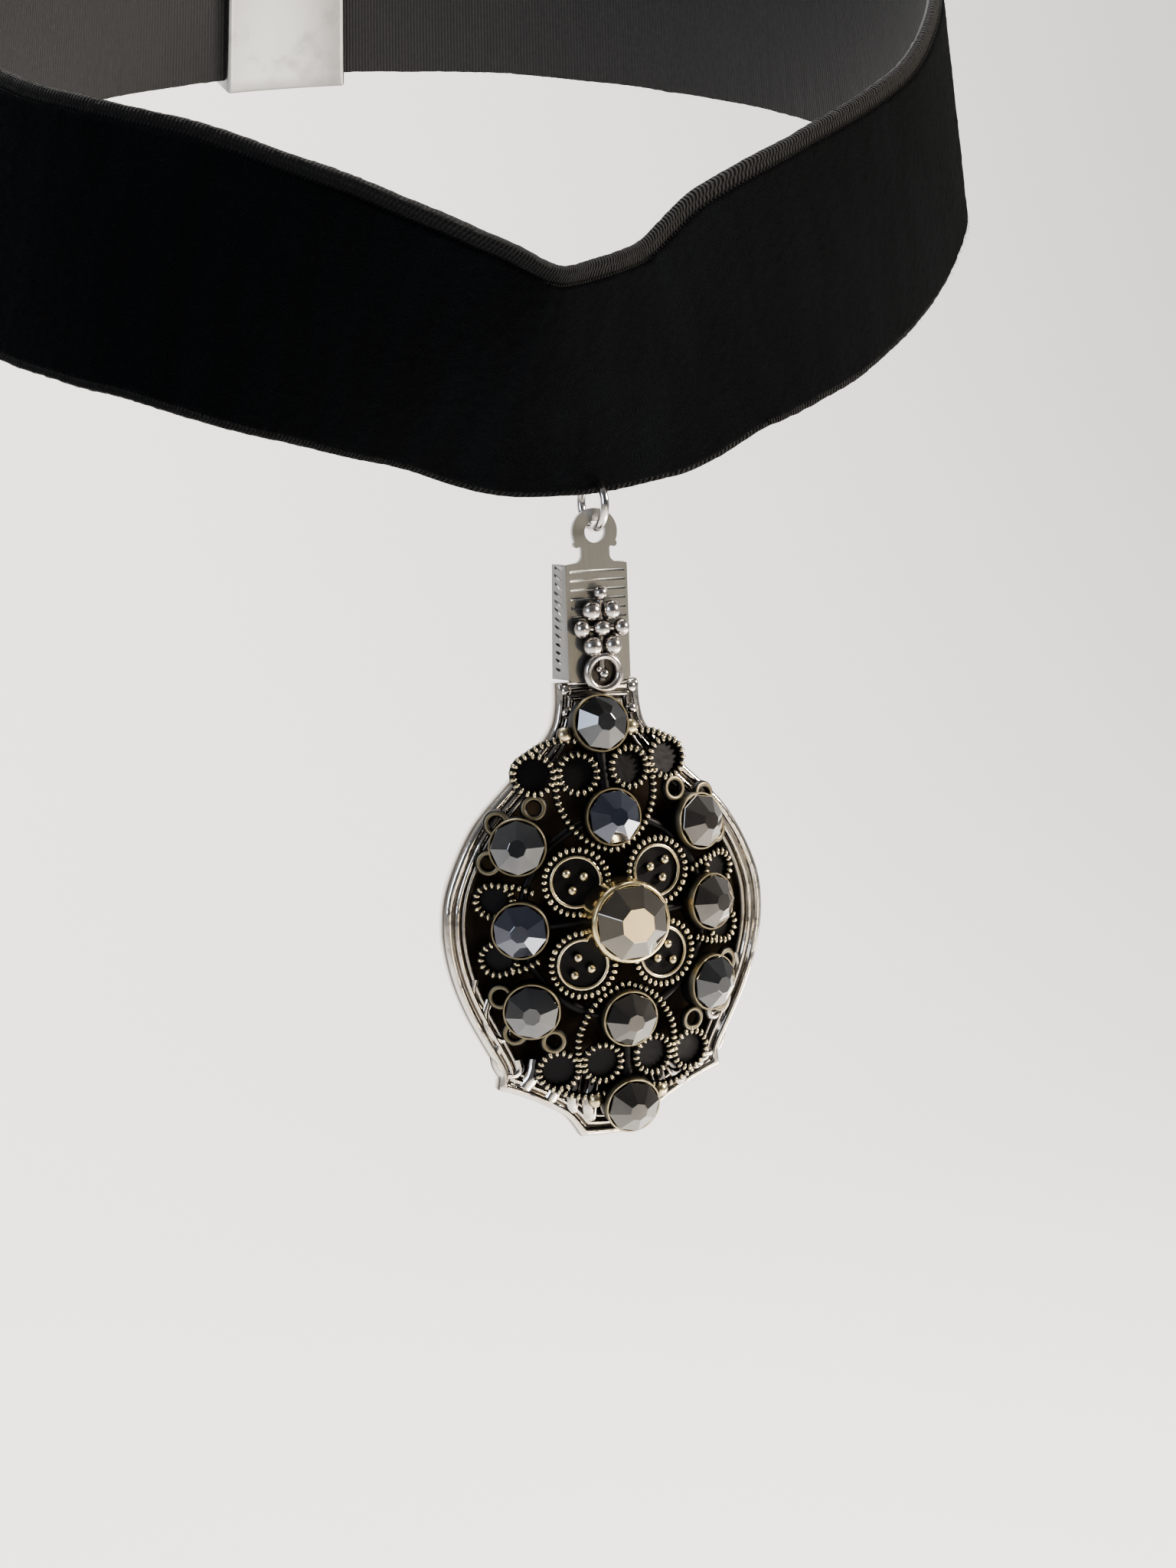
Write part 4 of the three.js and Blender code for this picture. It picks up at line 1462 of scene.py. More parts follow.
@dataclass
class HangerTab:
    """Stamped strap with an eye, small ears, engraved lines and folded flanges."""

    axes: PendantAxes
    thickness: float = 0.6
    eye: float = 2.0
    head: float = 4.3
    strip: float = 2.7
    strap: float = 6.0
    strap_top: float = 2.9
    strap_length: float = 10.0
    foot_lap: float = 0.7
    flange_lap: float = 0.5
    flange_depth: float = 2.3
    flange_flare: float = 0.7
    line_count: int = 6
    line_pitch: float = 0.83
    line_width: float = 0.15
    tick_count: int = 13
    softness: float = 0.07
    face_wear: float = 0.24
    flange_wear: float = 0.29

    def outline(self) -> list[Point2]:
        """Return the flat outline of head, ears, strip and strap, counter-clockwise."""
        head, strip, strap = self.head / 2, self.strip / 2, self.strap / 2
        ear_top = -head * 0.4
        foot = -self.strap_top - self.strap_length - self.foot_lap
        half = [
            (-head * 0.96, -head * 0.45),
            (-head * 0.97, -head * 0.54),
            (-head * 0.92, -head * 0.63),
            (-head * 0.83, -head * 0.66),
            (-head * 0.74, -head * 0.62),
            (-strip * 1.03, -head * 0.63),
            (-strip, -head * 0.72),
            (-strip, -self.strap_top + 0.72),
            (-strip * 1.08, -self.strap_top + 0.42),
            (-strip * 1.3, -self.strap_top + 0.16),
            (-strap * 0.93, -self.strap_top + 0.02),
            (-strap, -self.strap_top - 0.12),
            (-strap, foot + 0.3),
            (-strap * 0.92, foot),
        ]
        other = [(-x, y) for x, y in reversed(half)]
        start = math.degrees(math.asin(ear_top / head))
        return arc((0, 0), head, start, 180 - start, 44) + half + other

    def flange(self, side: int) -> Piece:
        """Build one folded edge, a little wider apart at its foot.

        Args:
            side: -1 for the left edge, 1 for the right.

        Returns:
            The edge.
        """
        wall = add_box("flange", (self.thickness, self.strap_length, self.flange_depth), (0, 0, 0))
        for vertex in wall.data.vertices:
            fall = 0.5 - vertex.co.y / self.strap_length
            vertex.co.y -= fall * self.flange_lap
            back = 0.5 - vertex.co.z / self.flange_depth
            flare = self.flange_flare * (0.5 + 0.5 * fall) * back
            reach = self.strap / 2 - self.thickness * 0.5 + flare
            lowered = vertex.co.y - self.strap_top - self.strap_length / 2
            raised = self.thickness / 2 - 0.02 - back * (self.flange_depth + self.thickness / 2 - 0.02)
            vertex.co = (side * reach + vertex.co.x, lowered, raised)
        outward(wall)
        return wall

    def graver(self, length: float, place: Matrix) -> Piece:
        """Build the round-nosed cutter of one engraved line.

        Args:
            length: Length of the line.
            place: Where the cutter goes.

        Returns:
            The cutter.
        """
        bpy.ops.object.select_all(action="DESELECT")
        bpy.ops.mesh.primitive_cylinder_add(vertices=10, radius=self.line_width, depth=length)
        tool = newest("graver")
        bake_place(tool, place)
        return tool

    def engrave(self, tab: Piece) -> None:
        """Cut the lines across the face and the slanting ticks down the flanges.

        Args:
            tab: The hanger tab.
        """
        face, across = self.thickness / 2, Matrix.Rotation(math.pi / 2, 4, "Y")
        tools = []
        for i in range(self.line_count):
            place = Matrix.Translation((0.1, -self.strap_top - self.line_pitch * (i + 0.75), face + 0.05))
            tools.append(self.graver(self.strap - 0.7, place @ across))
        for side in (-1, 1):
            for i in range(self.tick_count):
                fall = (i + 0.6) / self.tick_count
                reach = self.strap / 2 + self.flange_flare * (0.5 + 0.5 * fall) * 0.5 + 0.05
                slant = Matrix.Rotation(math.radians(14 + 4 * (i % 3)), 4, "X")
                lie = Matrix.Translation((side * reach, -self.strap_top - self.strap_length * fall, -0.95))
                tools.append(self.graver(1.7 + 0.2 * (i % 2), lie @ slant))
        cut(tab, join("gravers", tools))

    def mark_lines(self, tab: Piece) -> None:
        """Store how bright each vertex is marked: the engraved lines most, as painted highlight in the
        grooves, the flat face least.

        Args:
            tab: The hanger tab.
        """
        face = self.thickness / 2
        values = []
        for vertex in tab.data.vertices:
            x, y, z = vertex.co
            inside = y < -self.strap_top - 0.2 and abs(x) < self.strap / 2 - 0.3
            engraved = inside and face - 0.16 < z < face - 0.004
            worn = self.flange_wear if z < -face else self.face_wear
            # Engraved lines get the full mark: a painted highlight along the grooves.
            values.append(1.0 if engraved else worn)
        store_wear_and_shade(tab, values)

    def make(self) -> Piece:
        """Build and dress the hanger."""
        face = self.thickness / 2
        tab = outline_slab("stamped_hanger_tab", self.outline(), -face, face)
        outward(tab)
        for side in (-1, 1):
            wall = self.flange(side)
            apply_modifier(tab, "BOOLEAN", operation="UNION", object=wall, solver="EXACT")
            bpy.data.objects.remove(wall)
        bpy.ops.object.select_all(action="DESELECT")
        bpy.ops.mesh.primitive_cylinder_add(vertices=40, radius=self.eye / 2, depth=self.thickness * 3)
        cut(tab, newest("eye_punch"))
        self.engrave(tab)
        bevel(tab, self.softness, 2, 38)
        self.mark_lines(tab)
        bake_place(tab, self.axes.place())
        crisp(tab, 35)
        tab.data.materials.append(AGED_SILVER.material())
        return hand_over(tab, Body.PENDANT, Slot.BRUSHED_SILVER, "hanger_tab")


@dataclass
class GranuleCluster:
    """Eight polished balls and a small ring cup, soldered to a slim stem."""

    axes: PendantAxes
    row_pitch: float = 1.6
    spread: float = 1.9
    top: float = 5.5
    cup_outer: float = 3.8
    cup_bore: float = 2.3
    cup_height: float = 1.1
    back: float = 0.6
    rows: tuple[tuple[float, tuple[float, ...]], ...] = (
        (0.68, (0.0,)),
        (0.88, (-0.5, 0.5)),
        (0.78, (-1.0, 0.0, 1.0)),
        (0.9, (-0.5, 0.5)),
    )

    def balls(self) -> list[Piece]:
        """Build the balls, each a little uneven, with its bead of solder."""
        source, parts = random.Random(3), []
        for index, (radius, places) in enumerate(self.rows):
            for place in places:
                x, y = place * self.spread, -self.top - self.row_pitch * index
                ball = add_ball("granule", radius, (0, 0, 0), 24)
                shape = [1 + source.uniform(-0.07, 0.07) for _ in range(3)]
                lift = self.back + radius * 0.8
                bake_place(ball, Matrix.Translation((x, y, lift)) @ Matrix.Diagonal((*shape, 1)))
                solder_place = (x * 0.75, y - radius * 0.75, self.back + 0.15)
                parts += [ball, add_ball("solder", radius * 0.5, solder_place, 12)]
        return parts

    def cup(self) -> list[Piece]:
        """Build the ring cup with the nugget in it."""
        drop = self.top + self.row_pitch * (len(self.rows) - 1) + 0.9 - 0.35 + self.cup_outer / 2
        wall = (self.cup_outer - self.cup_bore) / 2
        shell = add_ring("ring_cup", (self.cup_outer - wall) / 2, wall, 48, 16)
        lifted = Matrix.Translation((0, 0, self.cup_height * 0.6))
        bake_place(shell, lifted @ Matrix.Diagonal((1, 1, 1.25, 1)))
        bottom = outline_slab("cup_floor", arc((0, 0), self.cup_outer / 2 - 0.3, 0, 350, 35), 0, 0.3)
        outward(bottom)
        nugget = add_ball("nugget", 0.5, (0.1, -0.12, self.cup_height * 0.42), 14)
        crumb = add_ball("nugget", 0.33, (-0.38, 0.3, self.cup_height * 0.38), 12)
        parts = [shell, bottom, nugget, crumb]
        for part in parts:
            bake_place(part, Matrix.Translation((0, -drop, self.back)))
        return parts

    def make(self) -> Piece:
        """Build and dress the cluster."""
        reach = self.row_pitch * 5
        stem = plain_wire("stem", [(0, -self.top - reach * i / 3, self.back + 0.25) for i in range(4)], 0.7)
        cross = self.top + self.row_pitch * 2
        bar = plain_wire("bar", [(x * self.spread, -cross, self.back + 0.3) for x in (-1, 0, 1)], 0.7)
        cluster = join("granule_drops", [*self.balls(), *self.cup(), stem, bar])
        back = self.back
        # Marked dark low and bright high: oxide and painted shade at the granules' feet, wear and painted
        # highlights on their tops.
        mark_height(cluster, lambda x, y: back, 0.15, 0.95)
        bake_place(cluster, self.axes.place())
        cluster.data.materials.clear()
        cluster.data.materials.append(GRANULE_SILVER.material())
        return hand_over(cluster, Body.PENDANT, Slot.POLISHED_SILVER, "granule_cluster")


@dataclass
class SpoonPlate:
    """Backing plate: a bowl with a rolled and lined rim, a beaded neck and a fluted, scalloped foot."""

    axes: PendantAxes
    width: float = 31.4
    bowl_run: float = 22.0
    foot_drop: float = 21.1
    foot_width: float = 22.0
    tip_width: float = 6.2
    neck_width: float = 8.0
    tongue: Point2 = (4.0, 7.0)
    floor: float = 1.1
    rim: float = 1.1
    rim_width: float = 2.5
    drop: float = 35.1
    offset: float = 0.1
    back: float = -2.5
    clearance: float = 0.3
    dark_rise: float = 0.62
    bright_rise: float = 1.0
    hollow_depth: float = 0.32
    hollow_curve: float = 0.1
    corner_tone: float = 0.22
    hollow_wear: float = 0.56
    outside_wear: float = 0.85

    def outline(self) -> list[Point2]:
        """Return the plate's outline, counter-clockwise from the left of its neck."""
        wide, neck, foot, tip = self.width / 2, self.neck_width / 2, self.foot_width / 2, self.tip_width / 2
        up, down = self.bowl_run, self.foot_drop
        bowl = [
            (neck, up - 2 * self.clearance),
            (neck + 0.1, up * 0.86),
            (neck + 0.9, up * 0.76),
            (wide * 0.52, up * 0.6),
            (wide * 0.79, up * 0.4),
            (wide * 0.96, up * 0.16),
            (wide, -down * 0.03),
            (wide * 0.965, -down * 0.22),
            (wide * 0.88, -down * 0.4),
            (foot * 1.08, -down * 0.58),
            (foot * 0.99, -down * 0.67),
            (foot, -down * 0.75),
        ]
        scallop = [
            (foot, -down * 0.75),
            (foot * 0.86, -down * 0.775),
            (foot * 0.64, -down * 0.83),
            (tip * 1.45, -down * 0.905),
            (tip, -down),
        ]
        right = smooth_run(bowl, 9)[:-1] + smooth_run(scallop, 5)
        left = [(-x, y) for x, y in right]
        foot_edge = [(-tip * 0.4, -down * 1.004), (tip * 0.5, -down * 1.003)]
        return left + foot_edge + right[::-1]

    def rim_profile(self) -> list[Point2]:
        """Return the rim's profile: share of the way in from the edge, and height."""
        crest = self.floor + self.rim
        return [
            (0.03, 0.12),
            (0.0, 0.4),
            (0.0, crest - 0.5),
            (0.03, crest - 0.22),
            (0.09, crest - 0.06),
            (0.17, crest),
            (0.25, crest - 0.03),
            (0.31, crest - 0.13),
            (0.35, crest - 0.36),
            (0.39, crest - 0.38),
            (0.43, crest - 0.18),
            (0.50, crest - 0.12),
            (0.57, crest - 0.18),
            (0.61, crest - 0.44),
            (0.65, crest - 0.46),
            (0.69, crest - 0.30),
            (0.76, crest - 0.28),
            (0.82, crest - 0.42),
            (0.90, self.floor + 0.2),
            (1.0, self.floor),
        ]

    def hollow_profile(self) -> list[Point2]:
        """Return the hollow of the back: share of the way from its middle to its border, and height."""
        bowl = [(i / 16, self.hollow_depth - self.hollow_curve * (i / 16) ** 2) for i in range(1, 16)]
        return bowl + [(0.98, 0.2), (1.0, 0.17)]

    def shell(self) -> Piece:
        """Build the bowl: a shallow hollow behind, and lines that follow its outline down to the floor."""
        edge = even_run(self.outline(), 300)
        soft = softened(edge, 9)
        inner = [b + n * self.rim_width for b, n in zip(soft, inward_normals(soft))]
        rings = []
        for scale, z in self.hollow_profile():
            rings.append([(b * scale).to_3d() + Vector((0, 0, z)) for b in inner])
        for share, z in [(0.86, 0.08), (0.74, 0.0), (0.14, 0.0), *self.rim_profile()]:
            rings.append([a.lerp(b, share).to_3d() + Vector((0, 0, z)) for a, b in zip(edge, inner)])
        shell = wrap_rings("bowl", rings)
        smooth(shell, 60)
        return shell

    def flutes(self) -> list[Piece]:
        """Build the ridges that spread over the foot, between its creases."""
        source, ridges = random.Random(5), []
        for i in range(9):
            share = i / 4 - 1 + source.uniform(-0.06, 0.06)
            drop = self.foot_drop * (0.945 - 0.2 * abs(share) ** 1.4)
            start = -16.2 + 2.6 * abs(share) + source.uniform(-0.3, 0.3)
            inner = Vector((share * 7.4, start, self.floor + 0.15))
            outer = Vector((share * 8.8 + source.uniform(-0.3, 0.3), -drop, self.floor + 0.3))
            middle = (inner + outer) / 2 + Vector((source.uniform(-0.3, 0.3), 0, 0.25))
            ridges.append(plain_wire("flute", [inner, middle, outer], source.uniform(1.25, 1.8), 4))
        return ridges

    def scrolls(self) -> list[Piece]:
        """Build the low cast scrolls beside the foot, on both sides."""
        routes = (
            ([(-11.6, -7.2), (-12.1, -8.9), (-11.4, -10.6), (-10.3, -11.0), (-10.0, -10.1)], 0.9),
            ([(-10.9, -11.6), (-11.2, -13.0), (-10.2, -14.4), (-9.0, -14.2), (-9.1, -13.1)], 1.0),
            ([(-12.9, -5.2), (-13.1, -6.6), (-12.4, -7.9)], 0.8),
            ([(-9.9, -15.2), (-9.0, -15.7), (-8.0, -15.4)], 0.9),
        )
        parts = []
        for side in (-1, 1):
            for route, wire in routes:
                places = [(-side * x, y, self.floor + 0.5) for x, y in route]
                parts.append(plain_wire("scroll", places, wire, 3))
        return parts

    def neck_beads(self) -> list[Piece]:
        """Build the three pressed beads down each side of the neck."""
        parts = []
        for side in (-1, 1):
            for i in range(3):
                x = side * (self.neck_width / 2 - 0.85)
                y = self.bowl_run - 2 * self.clearance - 0.7 - 2.0 * i
                parts.append(add_ball("neck_bead", 0.6, (x, y, self.floor + 0.75), 18))
        return parts

    def mark_wear_and_shade(self, plate: Piece) -> None:
        """Store how bright each vertex is marked: dark in the hollows, bright on the crests and outside; the
        dark floor under the filigree is oxide and painted shade, the bright crests wear and painted
        highlights.

        Args:
            plate: The whole plate.
        """
        values = []
        for vertex in plate.data.vertices:
            rise = (vertex.co.z - self.floor - self.dark_rise) / (self.bright_rise - self.dark_rise)
            if vertex.normal.z < -0.5 and vertex.co.z > 0.1:
                tarnish = noise.noise(vertex.co * 0.2) + 0.5 * noise.noise(vertex.co * 0.45)
                # Darker along the border of the back hollow.
                in_corner = vertex.co.z < 0.19
                values.append(self.corner_tone if in_corner else self.hollow_wear + 0.28 * tarnish)
            elif vertex.co.z < self.floor - 0.05:
                values.append(self.outside_wear)
            else:
                values.append(min(max(rise, 0.0), 1.0))
        store_wear_and_shade(plate, values)

    def make(self) -> Piece:
        """Build and dress the plate."""
        wide, run = self.tongue
        top = -self.back - 0.3 - self.clearance
        reach = run + 4 * self.clearance
        tongue = add_box("tongue", (wide, reach, top), (0, self.bowl_run + run - reach / 2, top / 2))
        parts = [self.shell(), tongue, *self.flutes(), *self.scrolls(), *self.neck_beads()]
        plate = join("spoon_backing_plate", parts)
        self.mark_wear_and_shade(plate)
        bake_place(plate, self.axes.place(self.offset, -self.drop, self.back))
        plate.data.materials.clear()
        plate.data.materials.append(PLATE_SILVER.material())
        return hand_over(plate, Body.PENDANT, Slot.POLISHED_SILVER, "backing_plate")


@dataclass(frozen=True)
class StoneSeat:
    """Where one stone sits on the dome: its CAD node and its place."""

    node: str
    x: float
    y: float


@dataclass
class FiligreeDome:
    """The shallow dome that carries the filigree, more curved across than along."""

    axes: PendantAxes
    across: float = 24.0
    along: float = 90.0
    crown: float = 2.6
    drop: float = 35.1
    offset: float = 0.1
    turn: float = 3.0
    small_stone: float = 5.0
    centre_stone: float = 7.2

    def height(self, x: float, y: float) -> float:
        """Return the dome's height at a place."""
        fall_across = self.across - math.sqrt(self.across**2 - x**2)
        fall_along = self.along - math.sqrt(self.along**2 - y**2)
        return self.crown - fall_across - fall_along

    def stand(self, x: float, y: float, lift: float) -> Matrix:
        """Return the place of a shape that stands square on the dome.

        Args:
            x: Place across the dome.
            y: Place along the dome.
            lift: Height above the dome.

        Returns:
            The place, in millimetres.
        """
        slope_across = x / math.sqrt(self.across**2 - x**2)
        slope_along = y / math.sqrt(self.along**2 - y**2)
        normal = Vector((slope_across, slope_along, 1)).normalized()
        turn = Vector((0, 0, 1)).rotation_difference(normal).to_matrix().to_4x4()
        return Matrix.Translation(Vector((x, y, self.height(x, y))) + normal * lift) @ turn

    def place(self) -> Matrix:
        """Return where the dome hangs in the frame."""
        return self.axes.place(self.offset, -self.drop, 0.0, self.turn)

    def seats(self) -> list[StoneSeat]:
        """Return the seats of the ten small stones."""
        upper, side, across, along, end = 9.25, 8.85, 8.4, 7.5, 17.6
        return [
            StoneSeat("stone_top", 0, end),
            StoneSeat("stone_upper", 0, upper),
            StoneSeat("stone_upper_left", -across, along),
            StoneSeat("stone_upper_right", across, along),
            StoneSeat("stone_left", -side, 0),
            StoneSeat("stone_right", side, 0),
            StoneSeat("stone_lower_left", -across, -along),
            StoneSeat("stone_lower_right", across, -along),
            StoneSeat("stone_lower", 0, -upper),
            StoneSeat("stone_bottom", 0, -end),
        ]


@dataclass
class Filigree:
    """Pierced openwork of milled wires, petals, eyelets and balls, with the stones' collets."""

    dome: FiligreeDome
    wire: float = 0.85
    fine_wire: float = 0.7
    bead_pitch: float = 0.62
    lift: float = 0.5
    petal_reach: float = 3.8
    petal_radius: float = 3.05
    petal_height: float = 0.8
    end_ball: float = 0.75
    wall: float = 0.16
    collet_height: float = 1.72
    base_across: float = 8.85
    base_along: float = 9.25
    spine_run: float = 8.35

    def on_dome(self, points: Sequence[Point2], lift: float) -> list[Vector]:
        """Lay flat points on the dome."""
        return [Vector((x, y, self.dome.height(x, y) + lift)) for x, y in points]

    def milled(self, points: Sequence[Point2]) -> list[Piece]:
        """Build a milled wire over its dark core, which shows between the beads as oxide and painted shade.

        Args:
            points: Flat route of the wire.

        Returns:
            The beads and the core.
        """
        middle = self.lift + 0.08
        beads = beaded_wire("milled_wire", self.on_dome(points, middle), self.wire, self.bead_pitch)
        # Only the bead tops are marked bright: wear and painted highlights.
        mark_height(beads, self.dome.height, middle + self.wire * 0.26, middle + self.wire * 0.5)
        return [beads, plain_wire("wire_core", self.on_dome(points, self.lift - 0.1), self.wire * 0.72, 2)]

    def scrolls(self) -> list[Piece]:
        """Build the heart, the outer scroll and the side scroll of one quarter."""
        heart = [(0.3, 6.3), (2.2, 7.2), (3.9, 9.2), (4.7, 11.6)] + arc((2.5, 13.5), 1.75, 20, 372, 11)
        outer = [(1.8, 16.4), (4.4, 16.6)] + arc((6.5, 13.8), 1.75, 70, -282, 11)
        side = [(7.8, 3.2), (9.4, 3.9)] + arc((11.0, 2.7), 1.5, 120, -232, 11)
        wires = [part for route in (heart, outer, side) for part in self.milled(route)]
        loops = ((2.5, 13.5, 1.6), (6.5, 13.8, 1.6), (11.0, 2.7, 1.35))
        return wires + [self.loop_floor(x, y, reach) for x, y, reach in loops]

    def loop_floor(self, x: float, y: float, reach: float) -> Piece:
        """Build the black flat that closes one scroll's loop from behind; its black is oxide and painted
        shade.

        Args:
            x: Place across the dome.
            y: Place along the dome.
            reach: Radius of the flat.

        Returns:
            The flat.
        """
        flat = outline_slab("loop_floor", arc((0, 0), reach, 0, 348, 29), -0.05, 0.2)
        outward(flat)
        bake_place(flat, self.dome.stand(x, y, 0))
        return flat

    def petal(self) -> list[Piece]:
        """Build one petal: a dished disc, its milled edge, a smooth ring and three granules."""
        stand = self.dome.stand(self.petal_reach, self.petal_reach, 0.3)
        dish = outline_slab("petal", arc((0, 0), self.petal_radius, 0, 352, 44), 0, self.petal_height * 0.7)
        inset_steps(dish, [(0.5, 0.0), (0.12, -0.16), (0.3, -0.04)])
        outward(dish)
        smooth(dish, 40)
        edge_height, ring_height, ball_height = (self.petal_height * share for share in (0.86, 0.72, 0.85))
        edge_points = [(x, y, edge_height) for x, y in arc((0, 0), self.petal_radius - 0.08, 0, 330, 11)]
        edge = beaded_wire("petal_edge", edge_points, self.fine_wire * 0.95, self.bead_pitch, closed=True)
        # The petal's edge, ring and granules are marked bright on their tops: wear and painted highlights
        # over oxide and painted shade.
        mark_height(edge, flat_ground, edge_height + 0.1, edge_height + 0.3)
        ring = add_ring("petal_ring", self.petal_radius - 0.74, 0.36, 48, 10)
        bake_place(ring, Matrix.Translation((0, 0, ring_height)))
        mark_height(ring, flat_ground, ring_height + 0.02, ring_height + 0.2)
        parts = [dish, edge, ring]
        for turn in (45, 165, 285):
            x, y = arc((0.2, 0.2), 0.95, turn, turn, 1)[0]
            ball = add_ball("petal_granule", 0.45, (x, y, ball_height), 12)
            mark_height(ball, flat_ground, ball_height + 0.08, ball_height + 0.36)
            parts.append(ball)
        for part in parts:
            bake_place(part, stand)
        return parts

    def eyelets(self) -> list[Piece]:
        """Build the three smooth eyelets and the end ball of one quarter."""
        parts = []
        for x, y in ((9.9, 9.7), (6.7, 10.8), (10.9, 6.2)):
            eyelet = add_ring("eyelet", 0.95, self.fine_wire, 28, 10)
            # Eyelets and the end ball are marked bright on their tops only: painted highlights over oxide and
            # painted shade.
            mark_height(eyelet, flat_ground, 0.2, 0.75)
            bake_place(eyelet, self.dome.stand(x, y, self.lift))
            parts.append(eyelet)
        x, y = 3.2, 17.1
        ball = add_ball("end_ball", self.end_ball, Vector((x, y, self.dome.height(x, y) + self.lift)), 18)
        mark_height(ball, self.dome.height, self.lift + 0.1, self.lift + 0.7)
        return [*parts, ball]

    def quarters(self) -> Piece:
        """Build the upper right quarter and mirror it to the other three."""
        quarter = join("openwork", [*self.scrolls(), *self.petal(), *self.eyelets()])
        apply_modifier(quarter, "MIRROR", use_axis=(True, True, False), use_mirror_merge=False)
        return quarter

    def frame_wires(self) -> list[Piece]:
        """Build the plain wires under the stones: ring, spine and spokes."""
        across, along, parts = self.base_across, self.base_along, []
        turns = [2 * math.pi * i / 24 for i in range(25)]
        ring = [(across * math.cos(t), along * math.sin(t)) for t in turns]
        parts.append(plain_wire("base_ring", self.on_dome(ring, 0.1), self.wire, 3))
        for side in (-1, 1):
            spine = [(0, side * (along + self.spine_run * i / 3)) for i in range(4)]
            spoke = [(side * across * i / 3, 0) for i in range(4)]
            parts.append(plain_wire("spine", self.on_dome(spine, 0.1), self.wire * 1.3, 3))
            parts.append(plain_wire("spoke", self.on_dome(spoke, 0.1), self.wire, 3))
        return parts

    def collet(self, seat: StoneSeat) -> Piece:
        """Build the thin wall that holds one small stone.

        Args:
            seat: The place of the stone.

        Returns:
            The collet.
        """
        radius = self.dome.small_stone / 2 + self.wall
        cup = outline_slab("collet", arc((0, 0), radius, 0, 354, 59), 0, self.collet_height)
        inset_steps(cup, [(0.05, 0.06), (self.wall * 0.7, 0.0), (0.04, -0.12), (0.1, -0.5), (1.0, -0.1)])
        outward(cup)
        smooth(cup, 40)
        # The mark's top stands above the collet, so it stays dark with a faint painted highlight on its lip.
        mark_height(cup, flat_ground, 0.5, 4.0)
        bake_place(cup, self.dome.stand(seat.x, seat.y, 0))
        return cup

    def make(self) -> list[Piece]:
        """Build and dress the openwork and the centre bezel."""
        collets = [self.collet(seat) for seat in self.dome.seats()]
        # Pieces without a mark, the wire cores, loop floors, petal dishes and frame wires, join at 0 and take
        # the dark colour: oxide and painted shade.
        openwork = join("filigree_openwork", [self.quarters(), *self.frame_wires(), *collets])
        bake_place(openwork, self.dome.place())
        openwork.data.materials.clear()
        openwork.data.materials.append(OXIDISED_BRASS.material())
        hand_over(openwork, Body.PENDANT, Slot.OXIDISED_BRASS, "filigree")
        return [openwork, self.bezel()]

    def bezel(self) -> Piece:
        """Build the smooth rounded setting of the centre stone."""
        radius = self.dome.centre_stone / 2 + 0.5
        bezel = outline_slab("centre_bezel", arc((0, 0), radius * 0.93, 0, 355, 71), 0, 0.6)
        wall = [(-0.3, 1.6), (0.0, 1.05), (0.08, 0.34)]
        lip = [(0.15, 0.16), (0.16, 0.0), (0.12, -0.16), (0.02, -0.8)]
        inset_steps(bezel, wall + lip)
        outward(bezel)
        smooth(bezel, 50)
        bake_place(bezel, self.dome.place() @ self.dome.stand(0, 0, 0))
        bezel.data.materials.append(PALE_GOLD.material())
        return hand_over(bezel, Body.PENDANT, Slot.OXIDISED_BRASS)


@dataclass(frozen=True)
class Cut:
    """Cut of a round stone: shares of its radius and heights above its girdle."""

    diameter: float
    table: float
    crown: float
    girdle: float
    twist: float


